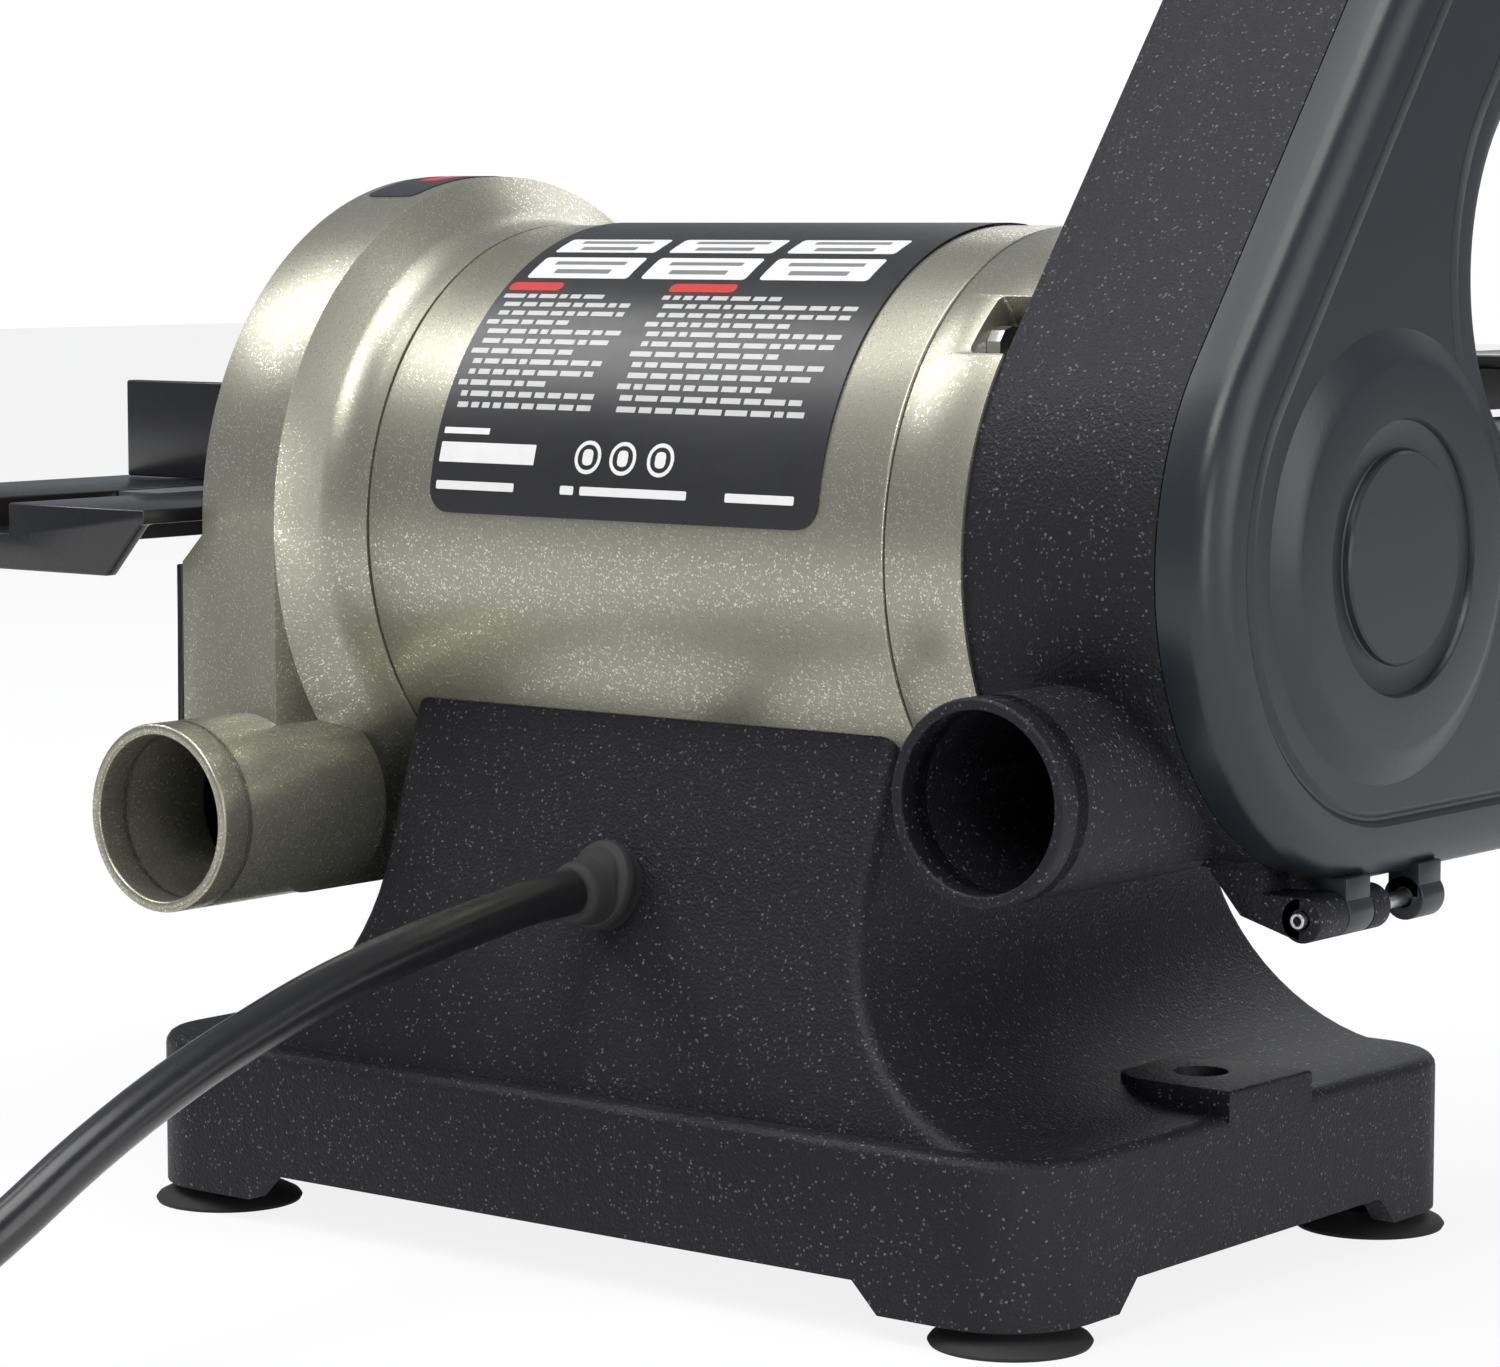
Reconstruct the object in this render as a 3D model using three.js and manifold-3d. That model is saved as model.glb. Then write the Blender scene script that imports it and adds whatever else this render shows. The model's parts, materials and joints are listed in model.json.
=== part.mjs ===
// Bench belt and disc sander. One induction motor turns a 5 inch disc at one end of its shaft
// and a 1 x 30 inch belt, over three wheels, at the other end.
// Millimetres. +X is the disc side, +Y the rear, +Z up. The shaft runs along X.
import * as THREE from 'three';
import { mergeVertices } from 'three/addons/utils/BufferGeometryUtils.js';
import Module from 'manifold-3d';

const wasm = await Module();
wasm.setup();

// ---------------------------------------------------------------- driving dimensions
const GAP = 0.3; // between pieces that touch
const SHAFT_HEIGHT = 141.5; // above the surface the feet stand on

// Base casting
const BASE = { centre: -1, length: 228, depth: 155, corner: 18, wall: 5 };
const LEG_BOTTOM = 4.7;
const SKIRT_EDGE = 10.5; // raised lower edge between the legs
const SKIRT_TOP = 36;
const LEG_LENGTH = { alongX: 34, alongY: 28.5 };
const PEDESTAL = { beltEnd: -64.5, discEnd: 57, flare: 40, footY: 73, topY: 50.3, topZ: 106.8 };
const PAD = { y: -2.25, width: 29.5, reach: 32, top: 40.3, bolt: 5, boltInset: 16 };
const FOOT = { inset: 14.3, radius: 15.25, neck: 9.5, stud: 3, studTop: 18 };
const PLATE = { bottom: 11, thick: 1.5 };

// Motor
const MOTOR = { radius: 60.8, wall: 2.5, discEnd: 60, beltEnd: -69.5, bellEnd: -87 };
const SHAFT = { radius: 7.5, journal: 6, beltEnd: -130, discEnd: 99, clearance: 2 };
const BEARING = { radius: 16, width: 10, hub: 21 };
const CORE = { bore: 31, length: 44, airGap: 0.7 };
const WINDING = { inner: 33, outer: 51, length: 16 };
const THROUGH_BOLT = { radius: 2.2, circle: 54.2, head: 4, notchWidth: 17, notchDepth: 8 };

// Disc end
const DISC = { radius: 63.5, back: 92.4, thick: 8, hub: 18, hubBack: 80, paper: 1.1 };
const GUARD = { radius: 71, bottom: 75, corner: 8, wall: 4, ridge: 76.2, rim: 96.5, boxFront: 102.4 };
const GUARD_WEB = { back: 73.5, front: 78 };
const BOX_STEP = 2; // how far under the shaft the box's chamfer starts
const DISC_PORT = { x: 84.5, z: -57, radius: 19, wall: 2.3, rim: 96.5, root: 58 };
const DUST_COVER = { thick: 1.5, top: -8.5 };

// Disc table, with its mitre gauge
const DISC_TABLE = { inner: 104.5, outer: 203, halfWidth: 80, top: 144.5, sheet: 3, flange: 14 };
const DISC_PIVOT = { x: 106, z: 143 };
const SLOT = { x: 153, width: 16.4, depth: 6.5, wall: 3 };
const CHEEK = { inner: 20, outer: 36, thick: 2.7, slotRadius: 28, slotWidth: 6.6 };
const TILT = 45; // degrees, both tables
const SLOT_MARGIN = 9; // degrees that a curved slot runs past its lock at each end
const KNOB = { radius: 13, length: 18, stud: 2.8 };
const GAUGE = { barLength: 110, fence: 89, fenceInner: 108, fenceThick: 3, fenceTall: 22, head: 34,
  fenceRear: -4.5, swivelBehind: 17.5 };

// Belt drive
const BELT = { centre: -108.3, width: 25.4, length: 762, thick: 1, lean: 37.5 };
const WHEEL = { drive: 44.6, idler: 22.5, width: 27, axle: 5 };
const HOUSING = { inboard: -87.3, seam: -128.4, floor: 4, wall: 3.5, margin: 15.6 };
const THROAT = { y: -75, z: 52, radius: 42, armTop: 20, armBottom: 158, fillet: 12, front: -143 };
const ARM_CORNER = 10;
const BELT_PORT = { x: -107.5, z: -40, radius: 18.7, wall: 2.3, rim: 84.3, root: 30 };
const COVER = { face: -141, wall: 3, plateau: -144 };
const HINGE = { x: -136.5, z: -65.3, pin: 1.5, knuckle: 4.3 };
const HOUSING_KNUCKLES = [[13, 23], [-2, 3.7]];
const COVER_KNUCKLES = [[4, 12.7], [-21.9, -13.6]];
const HOUSING_SCREWS = { circle: 52, angles: [60, 240], head: 3.5, shank: 2.2 };
const PLATEN = { thick: 3, width: 24, bottom: 4, top: 150, behindBelt: 0.6 };

// Belt table
const BELT_TABLE = { centre: -108, width: 88, front: -222, back: -138, top: 174.5, sheet: 3, flange: 12 };
const BELT_PIVOT = { y: -150, z: 172.5 };
const BELT_LOCK = { angle: -60, inner: 14, outer: 34, radius: 24, x: -80.3, thick: 2.7 };

// Switch and mains lead
const SWITCH = { x: -4, z: 72, width: 46, height: 34, bezel: 3, bodyWidth: 28, bodyHeight: 32, deep: 20 };
const INLET = { x: -4, z: 74, wide: 8, tall: 9.25, neck: 6.2 };
const CORD = { radius: 4.4, sides: 8 };
const COIL = { x: 72, y: 238, radius: 46, lift: 1.6, turnsWide: 3, turnsHigh: 2, tie: 1 };

// ---------------------------------------------------------------- shapes
const rad = THREE.MathUtils.degToRad;
const cos = (degrees) => Math.cos(rad(degrees));
const sin = (degrees) => Math.sin(rad(degrees));

// Points on an arc; angles in degrees from the first axis to the second.
function arc(a, b, radius, from, to, steps = 8) {
  const points = [];
  for (let i = 0; i <= steps; i += 1) {
    const angle = from + ((to - from) * i) / steps;
    points.push([a + radius * cos(angle), b + radius * sin(angle)]);
  }
  return points;
}

function circle(a, b, radius, sides = 16) {
  return arc(a, b, radius, 0, 360, sides).slice(0, sides);
}

function rectangle(a0, a1, b0, b1) {
  return [[a0, b0], [a1, b0], [a1, b1], [a0, b1]];
}

function roundedRectangle(a0, a1, b0, b1, radius, steps = 5) {
  return [
    ...arc(a1 - radius, b1 - radius, radius, 0, 90, steps),
    ...arc(a0 + radius, b1 - radius, radius, 90, 180, steps),
    ...arc(a0 + radius, b0 + radius, radius, 180, 270, steps),
    ...arc(a1 - radius, b0 + radius, radius, 270, 360, steps),
  ];
}

// A prism along x takes an outline of [y, z], along y of [x, z], and along z of [x, y].
const TURN = {
  x: new THREE.Matrix4().set(0, 0, 1, 0, 1, 0, 0, 0, 0, 1, 0, 0, 0, 0, 0, 1),
  y: new THREE.Matrix4().set(1, 0, 0, 0, 0, 0, -1, 0, 0, 1, 0, 0, 0, 0, 0, 1),
  z: new THREE.Matrix4(),
};

const flat = (outline) => outline.map(([a, b]) => new THREE.Vector2(a, b));

function prism(axis, outline, from, to, hole = null) {
  const shape = new THREE.Shape(flat(outline));
  if (hole) shape.holes.push(new THREE.Path(flat(hole)));
  const geometry = new THREE.ExtrudeGeometry(shape, { depth: to - from, bevelEnabled: false });
  return geometry.translate(0, 0, axis === 'y' ? -to : from).applyMatrix4(TURN[axis]);
}

const rod = (axis, a, b, radius, from, to, sides = 16) =>
  prism(axis, circle(a, b, radius, sides), from, to);

const block = (x0, x1, y0, y1, z0, z1) => prism('z', rectangle(x0, x1, y0, y1), z0, z1);

// A solid through outlines of [y, z] that have as many points as each other, at rising or falling x.
function loft(levels) {
  const count = levels[0].outline.length;
  const points = levels.flatMap(({ x, outline }) => outline.map(([y, z]) => [x, y, z])).flat();
  const faces = [];
  for (let level = 0; level + 1 < levels.length; level += 1) {
    for (let i = 0; i < count; i += 1) {
      const here = level * count + i;
      const next = level * count + ((i + 1) % count);
      faces.push(here, next, next + count, here, next + count, here + count);
    }
  }
  const last = (levels.length - 1) * count;
  THREE.ShapeUtils.triangulateShape(flat(levels[0].outline), []).forEach(([a, b, c]) => faces.push(a, c, b));
  THREE.ShapeUtils.triangulateShape(flat(levels.at(-1).outline), [])
    .forEach(([a, b, c]) => faces.push(last + a, last + b, last + c));
  if (levels.at(-1).x < levels[0].x) faces.reverse();
  const geometry = new THREE.BufferGeometry();
  geometry.setAttribute('position', new THREE.Float32BufferAttribute(points, 3));
  return geometry.setIndex(faces);
}

// A solid of revolution about +X (or +Z) from [along, radius] pairs. The profile runs so that it
// starts and ends on the axis, or it closes on itself.
function turned(profile, sides = 28, axis = 'x') {
  const outline = profile.map(([along, radius]) => new THREE.Vector2(radius, along));
  if (THREE.ShapeUtils.area(outline) < 0) outline.reverse();
  if (outline[0].x > 0 || outline.at(-1).x > 0) outline.push(outline[0].clone());
  const geometry = new THREE.LatheGeometry(outline, sides);
  return axis === 'x' ? geometry.rotateZ(-Math.PI / 2) : geometry.rotateX(Math.PI / 2);
}

// ---------------------------------------------------------------- joins and cuts
function solid(shape) {
  if (!shape.isBufferGeometry) return shape;
  const loose = shape.index ? shape.toNonIndexed() : shape;
  const bare = new THREE.BufferGeometry().setAttribute('position', loose.getAttribute('position'));
  const merged = mergeVertices(bare, 1e-4);
  return new wasm.Manifold(new wasm.Mesh({
    numProp: 3,
    vertProperties: merged.attributes.position.array,
    triVerts: new Uint32Array(merged.index.array),
  }));
}

const join = (...shapes) => shapes.map(solid).reduce((a, b) => a.add(b));
const cut = (...shapes) => shapes.map(solid).reduce((a, b) => a.subtract(b));
const meet = (...shapes) => shapes.map(solid).reduce((a, b) => a.intersect(b));

// ---------------------------------------------------------------- materials
const paint = (color, roughness, metalness) => ({ color, roughness, metalness });
const CHAMPAGNE = paint(0xa8a796, 0.42, 0.7);
const BLACK_CAST = paint(0x2b2b31, 0.55, 0.3);
const BLACK_SATIN = paint(0x30363c, 0.4, 0.2);
const BLACK_SHEET = paint(0x101113, 0.25, 0.3);
const STEEL = paint(0x9a9a9c, 0.35, 0.9);
const ALUMINIUM = paint(0xb9bbbd, 0.4, 0.9);
const COPPER = paint(0x9a5a2c, 0.45, 0.8);
const RUBBER = paint(0x141414, 0.8, 0);
const PLASTIC = paint(0x17181a, 0.45, 0);
const ABRASIVE = paint(0x6b3a24, 0.95, 0);
const PAPER = paint(0x15161a, 0.5, 0);
const KEY_RED = paint(0xa01d18, 0.45, 0);

function piece(parent, name, look, shape) {
  const { vertProperties, triVerts } = solid(shape).getMesh();
  const geometry = new THREE.BufferGeometry();
  geometry.setAttribute('position', new THREE.BufferAttribute(Float32Array.from(vertProperties), 3));
  geometry.setIndex(new THREE.BufferAttribute(Uint32Array.from(triVerts), 1));
  geometry.computeVertexNormals();
  const mesh = new THREE.Mesh(geometry, new THREE.MeshStandardMaterial(look));
  mesh.name = name;
  parent.add(mesh);
}

function group(parent, x = 0, y = 0, z = 0) {
  const made = new THREE.Group();
  made.position.set(x, y, z);
  parent.add(made);
  return made;
}

const machine = new THREE.Group();
const shaftLine = group(machine, 0, 0, SHAFT_HEIGHT); // its origin is on the shaft's axis

// ---------------------------------------------------------------- base casting, plate and feet
const BASE_BELT_SIDE = BASE.centre - BASE.length / 2;
const BASE_DISC_SIDE = BASE.centre + BASE.length / 2;
const BASE_REAR = BASE.depth / 2;
const SLOPE = (PEDESTAL.footY - PEDESTAL.topY) / (PEDESTAL.topZ - SKIRT_TOP); // of its front and rear
const SLOPE_ANGLE = THREE.MathUtils.radToDeg(Math.atan(SLOPE));
const slopeY = (z) => PEDESTAL.footY - (z - SKIRT_TOP) * SLOPE;
const FEET = [
  [BASE_BELT_SIDE + FOOT.inset, BASE_REAR - FOOT.inset],
  [BASE_BELT_SIDE + FOOT.inset, FOOT.inset - BASE_REAR],
  [BASE_DISC_SIDE - FOOT.inset, BASE_REAR - FOOT.inset],
  [BASE_DISC_SIDE - FOOT.inset, FOOT.inset - BASE_REAR],
];
const BOSS = { foot: 10, bolt: 10 };

function skirtOutline(inset) {
  return roundedRectangle(BASE_BELT_SIDE + inset, BASE_DISC_SIDE - inset,
    inset - BASE_REAR, BASE_REAR - inset, BASE.corner - inset, 4);
}

// The pedestal's outline seen from the rear flares out to the skirt at both ends.
function pedestal(inset, top) {
  const radius = PEDESTAL.flare + inset;
  const beltFlare = PEDESTAL.beltEnd - PEDESTAL.flare;
  const discFlare = PEDESTAL.discEnd + PEDESTAL.flare;
  const height = SKIRT_TOP + PEDESTAL.flare;
  const low = SKIRT_TOP - BASE.wall - 1;
  const fromRear = [
    [beltFlare, low],
    ...arc(beltFlare, height, radius, -90, 0, 7),
    [PEDESTAL.beltEnd + inset, top],
    [PEDESTAL.discEnd - inset, top],
    ...arc(discFlare, height, radius, 180, 270, 7),
    [discFlare, low],
  ];
  const across = inset / cos(SLOPE_ANGLE);
  const fromSide = [
    [across - PEDESTAL.footY, low],
    [across - PEDESTAL.footY, SKIRT_TOP],
    [across - slopeY(top), top],
    [slopeY(top) - across, top],
    [PEDESTAL.footY - across, SKIRT_TOP],
    [PEDESTAL.footY - across, low],
  ];
  return meet(prism('y', fromRear, -BASE_REAR, BASE_REAR),
    prism('x', fromSide, BASE_BELT_SIDE, BASE_DISC_SIDE));
}

// A mounting pad runs in from the middle of each short side and ends in a half circle.
function padOutline(side, sign) {
  const half = PAD.width / 2;
  const turn = side + sign * (PAD.reach - half);
  const end = arc(turn, PAD.y, half, -90, sign < 0 ? -270 : 90, 8);
  return [[side, PAD.y - half], ...end, [side, PAD.y + half]];
}

// A frame whose +Z points out of the slanted front (-1) or rear (+1) of the pedestal.
function slopeFrame(x, z, side) {
  const frame = new THREE.Group();
  frame.position.set(x, side * slopeY(z), z);
  frame.rotation.x = rad(-side * (90 - SLOPE_ANGLE));
  frame.updateMatrix();
  return frame;
}
const switchFrame = slopeFrame(SWITCH.x, SWITCH.z, -1);
const inletFrame = slopeFrame(INLET.x, INLET.z, 1);
machine.add(switchFrame, inletFrame);

function makeBase() {
  const cradle = MOTOR.radius + GAP;
  const top = SHAFT_HEIGHT - 0.4 * MOTOR.radius;
  const slopeRun = SKIRT_EDGE - LEG_BOTTOM;
  const notch = (low, high) => [
    [low, LEG_BOTTOM - 1], [low, LEG_BOTTOM], [low + slopeRun, SKIRT_EDGE],
    [high - slopeRun, SKIRT_EDGE], [high, LEG_BOTTOM], [high, LEG_BOTTOM - 1],
  ];
  const bolts = [BASE_BELT_SIDE + PAD.boltInset, BASE_DISC_SIDE - PAD.boltInset];
  const outside = join(
    prism('z', skirtOutline(0), LEG_BOTTOM, SKIRT_TOP),
    pedestal(0, top),
    prism('z', padOutline(BASE_BELT_SIDE, 1), SKIRT_TOP - 2, PAD.top),
    prism('z', padOutline(BASE_DISC_SIDE, -1), SKIRT_TOP - 2, PAD.top),
  );
  const hollow = join(
    prism('z', skirtOutline(BASE.wall), 0, SKIRT_TOP - BASE.wall),
    cut(pedestal(BASE.wall, top), rod('x', 0, SHAFT_HEIGHT, cradle + BASE.wall, -150, 150, 40)),
  );
  const bosses = join(
    ...FEET.map(([x, y]) => rod('z', x, y, BOSS.foot, LEG_BOTTOM, SKIRT_TOP - 1)),
    ...bolts.map((x) => rod('z', x, PAD.y, BOSS.bolt, PLATE.bottom + PLATE.thick + GAP, SKIRT_TOP)),
  );
  const casting = cut(
    join(cut(outside, hollow), meet(bosses, prism('z', skirtOutline(1), 0, SKIRT_TOP))),
    rod('x', 0, SHAFT_HEIGHT, cradle, -150, 150, 48),
    prism('y', notch(BASE_BELT_SIDE + LEG_LENGTH.alongX, BASE_DISC_SIDE - LEG_LENGTH.alongX), -100, 100),
    prism('x', notch(LEG_LENGTH.alongY - BASE_REAR, BASE_REAR - LEG_LENGTH.alongY), -150, 150),
    ...FEET.map(([x, y]) => rod('z', x, y, FOOT.stud + GAP, 0, FOOT.studTop + 2, 12)),
    ...bolts.map((x) => rod('z', x, PAD.y, PAD.bolt, 0, PAD.top + 1, 20)),
    block(-(SWITCH.bodyWidth / 2 + GAP), SWITCH.bodyWidth / 2 + GAP, -(SWITCH.bodyHeight / 2 - 1 + GAP),
      SWITCH.bodyHeight / 2 - 1 + GAP, -12, 12).applyMatrix4(switchFrame.matrix),
    rod('z', 0, 0, INLET.neck + GAP, -12, 12, 20).applyMatrix4(inletFrame.matrix),
  );
  piece(machine, 'base_casting', BLACK_CAST, casting);

  const plate = cut(
    prism('z', skirtOutline(BASE.wall + GAP), PLATE.bottom, PLATE.bottom + PLATE.thick),
    ...FEET.map(([x, y]) => rod('z', x, y, BOSS.foot + GAP, 0, 30)),
    ...bolts.map((x) => rod('z', x, PAD.y, PAD.bolt, 0, 30, 20)),
  );
  piece(machine, 'base_floor_plate', STEEL, plate);

  const lip = LEG_BOTTOM - GAP;
  FEET.forEach(([x, y], i) => {
    const profile = [
      [0, 0], [0, FOOT.radius], [lip * 0.3, FOOT.radius], [lip * 0.6, FOOT.radius - 3],
      [lip, FOOT.neck], [lip, FOOT.stud], [FOOT.studTop, FOOT.stud], [FOOT.studTop, 0],
    ];
    piece(group(machine, x, y), `suction_foot_${i + 1}`, RUBBER, turned(profile, 12, 'z'));
  });

  const capacitor = { radius: 15, from: -42, to: 18, y: 28 };
  const z = PLATE.bottom + PLATE.thick + GAP + capacitor.radius;
  piece(machine, 'run_capacitor', ALUMINIUM,
    rod('x', capacitor.y, z, capacitor.radius, capacitor.from, capacitor.to, 20));
}

// ---------------------------------------------------------------- motor
const BOLT_ANGLES = [45, 135, 225, 315];
const onCircle = (radius, angle) => [radius * cos(angle), radius * sin(angle)];
const BELL_WALL = 5;

function makeMotor() {
  const bore = MOTOR.radius - MOTOR.wall;
  const coreRadius = bore - GAP;
  const halfCore = CORE.length / 2;
  const ring = (inner, outer, from, to, sides) =>
    turned([[from, inner], [from, outer], [to, outer], [to, inner]], sides);
  piece(shaftLine, 'motor_shell', CHAMPAGNE, ring(bore, MOTOR.radius, MOTOR.beltEnd, MOTOR.discEnd, 40));

  const boltHoles = (from, to) => BOLT_ANGLES.map((angle) =>
    rod('x', ...onCircle(THROUGH_BOLT.circle, angle), THROUGH_BOLT.radius + GAP, from, to, 8));
  piece(shaftLine, 'stator_core', STEEL,
    cut(ring(CORE.bore, coreRadius, -halfCore, halfCore, 40), ...boltHoles(-100, 100)));
  const windingFrom = halfCore + GAP;
  const windingTo = windingFrom + WINDING.length;
  piece(shaftLine, 'winding_end_disc_side', COPPER,
    ring(WINDING.inner, WINDING.outer, windingFrom, windingTo, 24));
  piece(shaftLine, 'winding_end_belt_side', COPPER,
    ring(WINDING.inner, WINDING.outer, -windingTo, -windingFrom, 24));
  piece(shaftLine, 'rotor_core', STEEL,
    ring(SHAFT.radius + GAP, CORE.bore - CORE.airGap, -halfCore - 2, halfCore + 2, 32));

  const bellFace = MOTOR.bellEnd;
  const bellBack = MOTOR.beltEnd - GAP;
  const beltSeat = bellFace + BELL_WALL + 1;
  const discSeat = GUARD_WEB.back - 1.5 - BEARING.width;
  const shoulder = { belt: beltSeat + GAP + BEARING.width + 2, disc: discSeat - 2 };
  piece(shaftLine, 'motor_shaft', STEEL, turned([
    [SHAFT.beltEnd, 0], [SHAFT.beltEnd, SHAFT.journal], [shoulder.belt, SHAFT.journal],
    [shoulder.belt, SHAFT.radius], [shoulder.disc, SHAFT.radius], [shoulder.disc, SHAFT.journal],
    [SHAFT.discEnd, SHAFT.journal], [SHAFT.discEnd, 0],
  ], 24));
  const race = SHAFT.journal + GAP;
  piece(shaftLine, 'bearing_belt_side', STEEL,
    ring(race, BEARING.radius, beltSeat + GAP, beltSeat + GAP + BEARING.width, 24));
  piece(shaftLine, 'bearing_disc_side', STEEL,
    ring(race, BEARING.radius, discSeat, discSeat + BEARING.width, 24));

  // The end bell: a disc with a rim, a bearing hub and four lugs with a notch for each bolt head.
  const seat = BEARING.radius + GAP;
  const shell = turned([
    [bellFace, SHAFT.journal + SHAFT.clearance], [bellFace, MOTOR.radius], [bellBack, MOTOR.radius],
    [bellBack, bore - 1], [bellFace + BELL_WALL, bore - 1], [bellFace + BELL_WALL, BEARING.hub],
    [bellBack - 0.7, BEARING.hub], [bellBack - 0.7, seat], [beltSeat, seat],
    [beltSeat, SHAFT.journal + SHAFT.clearance],
  ], 32);
  const notchFloor = bellFace + THROUGH_BOLT.notchDepth;
  const lugHalf = THROUGH_BOLT.notchWidth / 2 + 2.5;
  const lugInner = THROUGH_BOLT.circle - 8;
  const lug = (angle) => meet(
    block(bellFace + 1, bellBack, lugInner, MOTOR.radius, -lugHalf, lugHalf).rotateX(rad(angle)),
    rod('x', 0, 0, MOTOR.radius - 1, bellFace, bellBack, 32),
  );
  const notch = (angle) => block(bellFace - 1, notchFloor, lugInner + 3, MOTOR.radius + 5,
    -THROUGH_BOLT.notchWidth / 2, THROUGH_BOLT.notchWidth / 2).rotateX(rad(angle));
  const housingHoles = HOUSING_SCREWS.angles.map((angle) =>
    rod('x', ...onCircle(HOUSING_SCREWS.circle, angle), HOUSING_SCREWS.shank + GAP, bellFace - 1, -75, 8));
  piece(shaftLine, 'belt_end_bell', CHAMPAGNE, cut(
    join(shell, ...BOLT_ANGLES.map(lug)),
    ...BOLT_ANGLES.map(notch), ...boltHoles(-100, 0), ...housingHoles,
  ));

  const headBack = notchFloor - GAP;
  BOLT_ANGLES.forEach((angle, i) => {
    const profile = [
      [headBack - 3, 0], [headBack - 3, THROUGH_BOLT.head], [headBack, THROUGH_BOLT.head],
      [headBack, THROUGH_BOLT.radius], [GUARD_WEB.back + 2, THROUGH_BOLT.radius], [GUARD_WEB.back + 2, 0],
    ];
    const [y, z] = onCircle(THROUGH_BOLT.circle, angle);
    piece(group(shaftLine, 0, y, z), `through_bolt_${i + 1}`, STEEL, turned(profile, 10));
  });

  const label = { from: -54, to: 43, low: 4, high: 100, thick: 0.3 };
  const inner = MOTOR.radius + GAP;
  const outline = [
    ...arc(0, 0, inner + label.thick, label.low, label.high, 20),
    ...arc(0, 0, inner, label.high, label.low, 20),
  ];
  piece(shaftLine, 'rating_label', PAPER, prism('x', outline, label.from, label.to));
}

// ---------------------------------------------------------------- disc, guard and dust box
// A half circle over straight sides and a flat bottom.
function guardOutline(inset) {
  const side = GUARD.radius - inset;
  const bottom = inset - GUARD.bottom;
  const corner = GUARD.corner - inset;
  return [
    ...arc(0, 0, side, 0, 180, 24),
    ...arc(corner - side, bottom + corner, corner, 180, 270, 3),
    ...arc(side - corner, bottom + corner, corner, 270, 360, 3),
  ];
}

function makeDiscEnd() {
  const web = GUARD_WEB;
  const neckStart = MOTOR.discEnd + GAP;
  const neck = turned([
    [neckStart, 0], [neckStart, MOTOR.radius], [neckStart + 6, MOTOR.radius + 0.9],
    [GUARD.ridge - 5, MOTOR.radius + 3.2], [GUARD.ridge, GUARD.radius], [web.front, GUARD.radius],
    [web.front, 0],
  ], 36);
  const belowStep = [
    [GUARD.rim - 8, -GUARD.bottom - 1], [GUARD.rim - 8, 8 - BOX_STEP], [GUARD.boxFront + 1,
      -BOX_STEP - (GUARD.boxFront + 1 - GUARD.rim)], [GUARD.boxFront + 1, -GUARD.bottom - 1],
  ];
  const box = meet(prism('x', guardOutline(0), GUARD.rim - 6, GUARD.boxFront),
    prism('y', belowStep, -100, 100));
  const port = DISC_PORT;
  const outside = join(neck, prism('x', guardOutline(0), GUARD.ridge, GUARD.rim), box,
    rod('y', port.x, port.z, port.radius, port.root, port.rim, 24));
  const hub = turned([
    [neckStart + 0.4, BEARING.radius + GAP], [neckStart + 0.4, BEARING.hub],
    [web.back + 1, BEARING.hub], [web.back + 1, BEARING.radius + GAP],
  ], 32);
  const neckBore = MOTOR.radius - 5.3;
  const motorSide = turned([[0, 0], [0, neckBore], [web.back, neckBore], [web.back, 0]], 28);
  const lugs = BOLT_ANGLES.map((angle) =>
    rod('x', ...onCircle(THROUGH_BOLT.circle, angle), 5, neckStart, web.back + 1, 8));
  const holes = BOLT_ANGLES.map((angle) =>
    rod('x', ...onCircle(THROUGH_BOLT.circle, angle), THROUGH_BOLT.radius + GAP, 0, web.back + 2 + GAP, 8));
  piece(shaftLine, 'disc_guard', CHAMPAGNE, cut(
    join(
      cut(outside, prism('x', guardOutline(GUARD.wall), web.front, 120), motorSide,
        rod('y', port.x, port.z, port.radius - port.wall, GUARD.radius - GUARD.wall - 1, 120, 24)),
      hub, ...lugs,
    ),
    ...holes,
    rod('x', 0, 0, SHAFT.journal + SHAFT.clearance, 0, 90),
    rod('y', LOCK_X, LOCK_Z - SHAFT_HEIGHT, KNOB.stud + GAP, -GUARD.radius - 1,
      GUARD.wall + 2 - GUARD.radius, 12),
  ));

  const face = DISC.back + DISC.thick;
  piece(shaftLine, 'disc_plate', ALUMINIUM, turned([
    [DISC.hubBack, SHAFT.journal + GAP], [DISC.hubBack, DISC.hub], [DISC.back, DISC.hub],
    [DISC.back, DISC.radius - GAP], [face, DISC.radius - GAP], [face, 0], [SHAFT.discEnd + GAP, 0],
    [SHAFT.discEnd + GAP, SHAFT.journal + GAP],
  ], 36));
  piece(shaftLine, 'abrasive_disc', ABRASIVE, turned([
    [face + GAP, 0], [face + GAP, DISC.radius], [face + GAP + DISC.paper, DISC.radius],
    [face + GAP + DISC.paper, 0],
  ], 36));

  const coverBack = GUARD.boxFront + GAP;
  const lower = prism('y', rectangle(coverBack - 1, coverBack + 5, -100, DUST_COVER.top), -100, 100);
  piece(shaftLine, 'disc_dust_cover', BLACK_SHEET, cut(
    meet(prism('x', guardOutline(0), coverBack, coverBack + DUST_COVER.thick), lower),
    rod('y', port.x, port.z, port.radius + 2 * GAP, port.root - GAP, port.rim, 24),
  ));
}

// ---------------------------------------------------------------- disc table and mitre gauge
const LOCK_ANGLE = -130; // where the table's lock passes its curved slot, seen from the front
const LOCK_X = DISC_PIVOT.x + CHEEK.slotRadius * cos(LOCK_ANGLE);
const LOCK_Z = DISC_PIVOT.z + CHEEK.slotRadius * sin(LOCK_ANGLE);

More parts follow.
